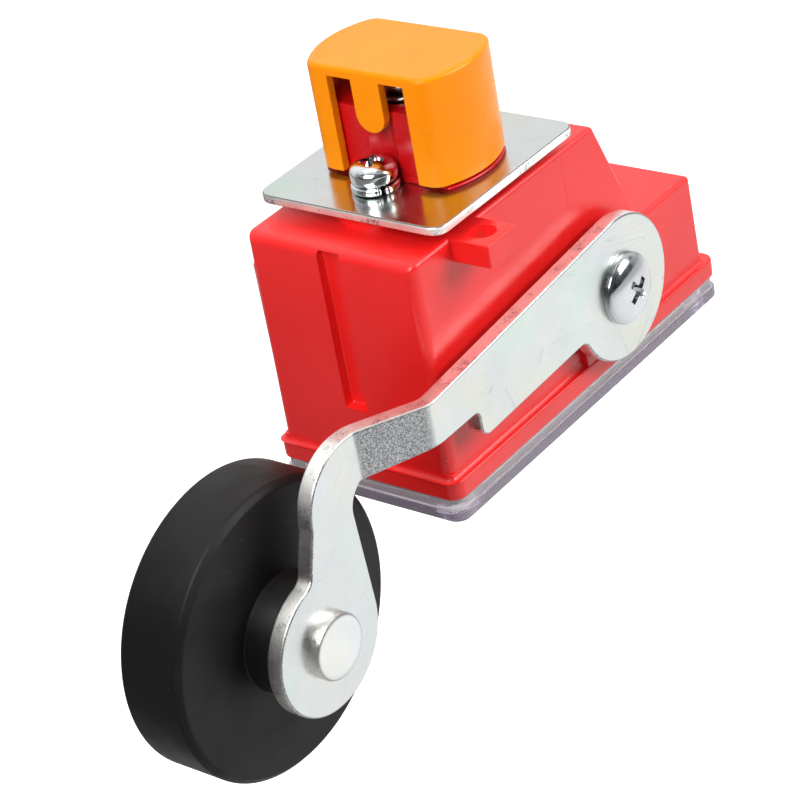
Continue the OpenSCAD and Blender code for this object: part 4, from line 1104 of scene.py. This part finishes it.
works = [
    ("cover_screws", "zinc_screw", screw_zinc, 0.12),
    ("thread_inserts", "brass", brass, 0.15),
    ("guide_nut", "brass", brass, 0.2),
    ("shaft_bushes", "bronze", bronze, 0.2),
    ("shaft_seal", "seal_black", seal_black, 0.0),
    ("contact_block", "block_black", block_black, 0.2),
    ("fixed_contacts", "copper", copper, 0.1),
    ("terminal_screws", "zinc_screw", screw_zinc, 0.1),
    ("terminal_clamps", "zinc_plate", plate_zinc, 0.12),
    ("block_screws", "zinc_screw", screw_zinc, 0.1),
    ("return_spring", "spring_steel", spring_steel, 0.0),
    ("reset_spring", "spring_steel", spring_steel, 0.0),
    ("entry_grommet", "seal_black", seal_black, 0.3),
    ("shaft", "ground_steel", ground_steel, 0.15),
    ("crank", "brass", brass, 0.2),
    ("crank_pin", "ground_steel", ground_steel, 0.15),
    ("crank_roll_pin", "spring_steel", spring_steel, 0.1),
    ("roller_washer", "zinc_screw", screw_zinc, 0.1),
    ("roller_bush", "bronze", bronze, 0.15),
    ("contact_slide", "slide_cream", slide_cream, 0.2),
    ("contact_bridge", "copper", copper, 0.1),
    ("bridge_springs", "spring_steel", spring_steel, 0.0),
    ("reset_plunger", "ground_steel", ground_steel, 0.15),
    ("plunger_clip", "spring_steel", spring_steel, 0.08),
]
bodies = frame["record"]["behaviour"]["bodies"]
owner = {node: body for body, members in bodies.items() for node in members}
for node, slot, material, edge in works:
    piece = from_cad(node, node + "_piece")
    if edge:
        round_edges(piece, edge, 2, 35)
    else:
        smooth_by_angle(piece, 45)
    finish_piece(piece, owner[node], slot, material, node)

# ---- Studio ----------------------------------------------------------------------------
# A pale floor far below, so that no hard shadow shows, three soft boxes and a white
# surround that is brighter behind the switch. In a mirror the floor is darker at the back.

floor = mesh_piece("floor", [(-4, -4, -0.16), (4, -4, -0.16), (4, 4, -0.16), (-4, 4, -0.16)],
                   [[0, 1, 2, 3]])
pale, n, shader, where = new_material("pale_floor", Roughness=0.9, Emission_Strength=0.55)
paths = n.add("ShaderNodeLightPath").outputs
seen = paths["Is Camera Ray"]
bounce = paths["Is Diffuse Ray"]
tone = n.mix(n.noise(where, 3.0), (0.92, 0.92, 0.92, 1), (0.95, 0.95, 0.95, 1))
towards_side = n.vector("DOT_PRODUCT", where, (0.71, -0.71, 0))
falloff = n.steps(towards_side, -0.3, 0.15)


def grey(level):
    return (level, level, level, 1)


mirrored = n.mix(bounce, n.mix(falloff, grey(0.15), grey(0.7)), grey(0.3))
n.put(shader["Base Color"], n.mix(seen, mirrored, tone))
glow = n.mix(bounce, n.mix(falloff, grey(0.15), grey(0.62)), grey(0.1))
n.put(shader["Emission Color"], n.mix(seen, glow, (1, 1, 1, 1)))
floor.data.materials.append(pale)

scene = bpy.context.scene
scene.view_settings.view_transform = "Standard"
world = bpy.data.worlds.new("surround")
scene.world = world
world.use_nodes = True
w = Nodes(world.node_tree)
heading = w.add("ShaderNodeTexCoord").outputs["Generated"]
towards_back = w.vector("DOT_PRODUCT", heading, (0.55, 0.55, 0.62))
bright = w.steps(towards_back, -0.2, 0.9, 0.1, 1.06)
drape = w.steps(w.noise(heading, 2.6, 1.0), 0.4, 0.5, 0.2, 1.0)
open_sky = w.steps(towards_back, 0.3, 0.7)
surround = world.node_tree.nodes["Background"].inputs
w.put(surround["Color"], (1, 1, 1, 1))
w.put(surround["Strength"], w.math("MULTIPLY", bright, w.math("MAXIMUM", drape, open_sky)))

target = Vector((-15, 0, 18)) * MM
lamps = [
    ("key", (0.3, -0.6, 0.45), 0.45, 0.45, 5.3),
    ("top", (-0.1, 0.1, 0.8), 0.5, 0.5, 0.4),
    ("front", (-0.15, -0.02, 0.14), 0.1, 0.1, 0.22),
]
for name, place, width, height, power in lamps:
    light = bpy.data.lights.new(name, "AREA")
    light.shape = "RECTANGLE"
    light.size, light.size_y = width, height
    light.energy = power
    lamp = bpy.data.objects.new(name, light)
    lamp.location = place
    lamp.visible_camera = False
    lamp.rotation_euler = (target - Vector(place)).to_track_quat("-Z", "Y").to_euler()
    scene.collection.objects.link(lamp)

camera = bpy.data.objects.new("camera", bpy.data.cameras.new("camera"))
scene.collection.objects.link(camera)
camera.location = (-0.31631, -0.26212, 0.24153)
camera.rotation_euler = [math.radians(angle) for angle in (59.67841, 9.15748, -53.51172)]
camera.data.sensor_width = 36.0
camera.data.lens = 123.58
camera.data.shift_x = -0.0209
camera.data.shift_y = -0.0376
camera.data.clip_start = 0.01
camera.data.clip_end = 20.0
scene.camera = camera
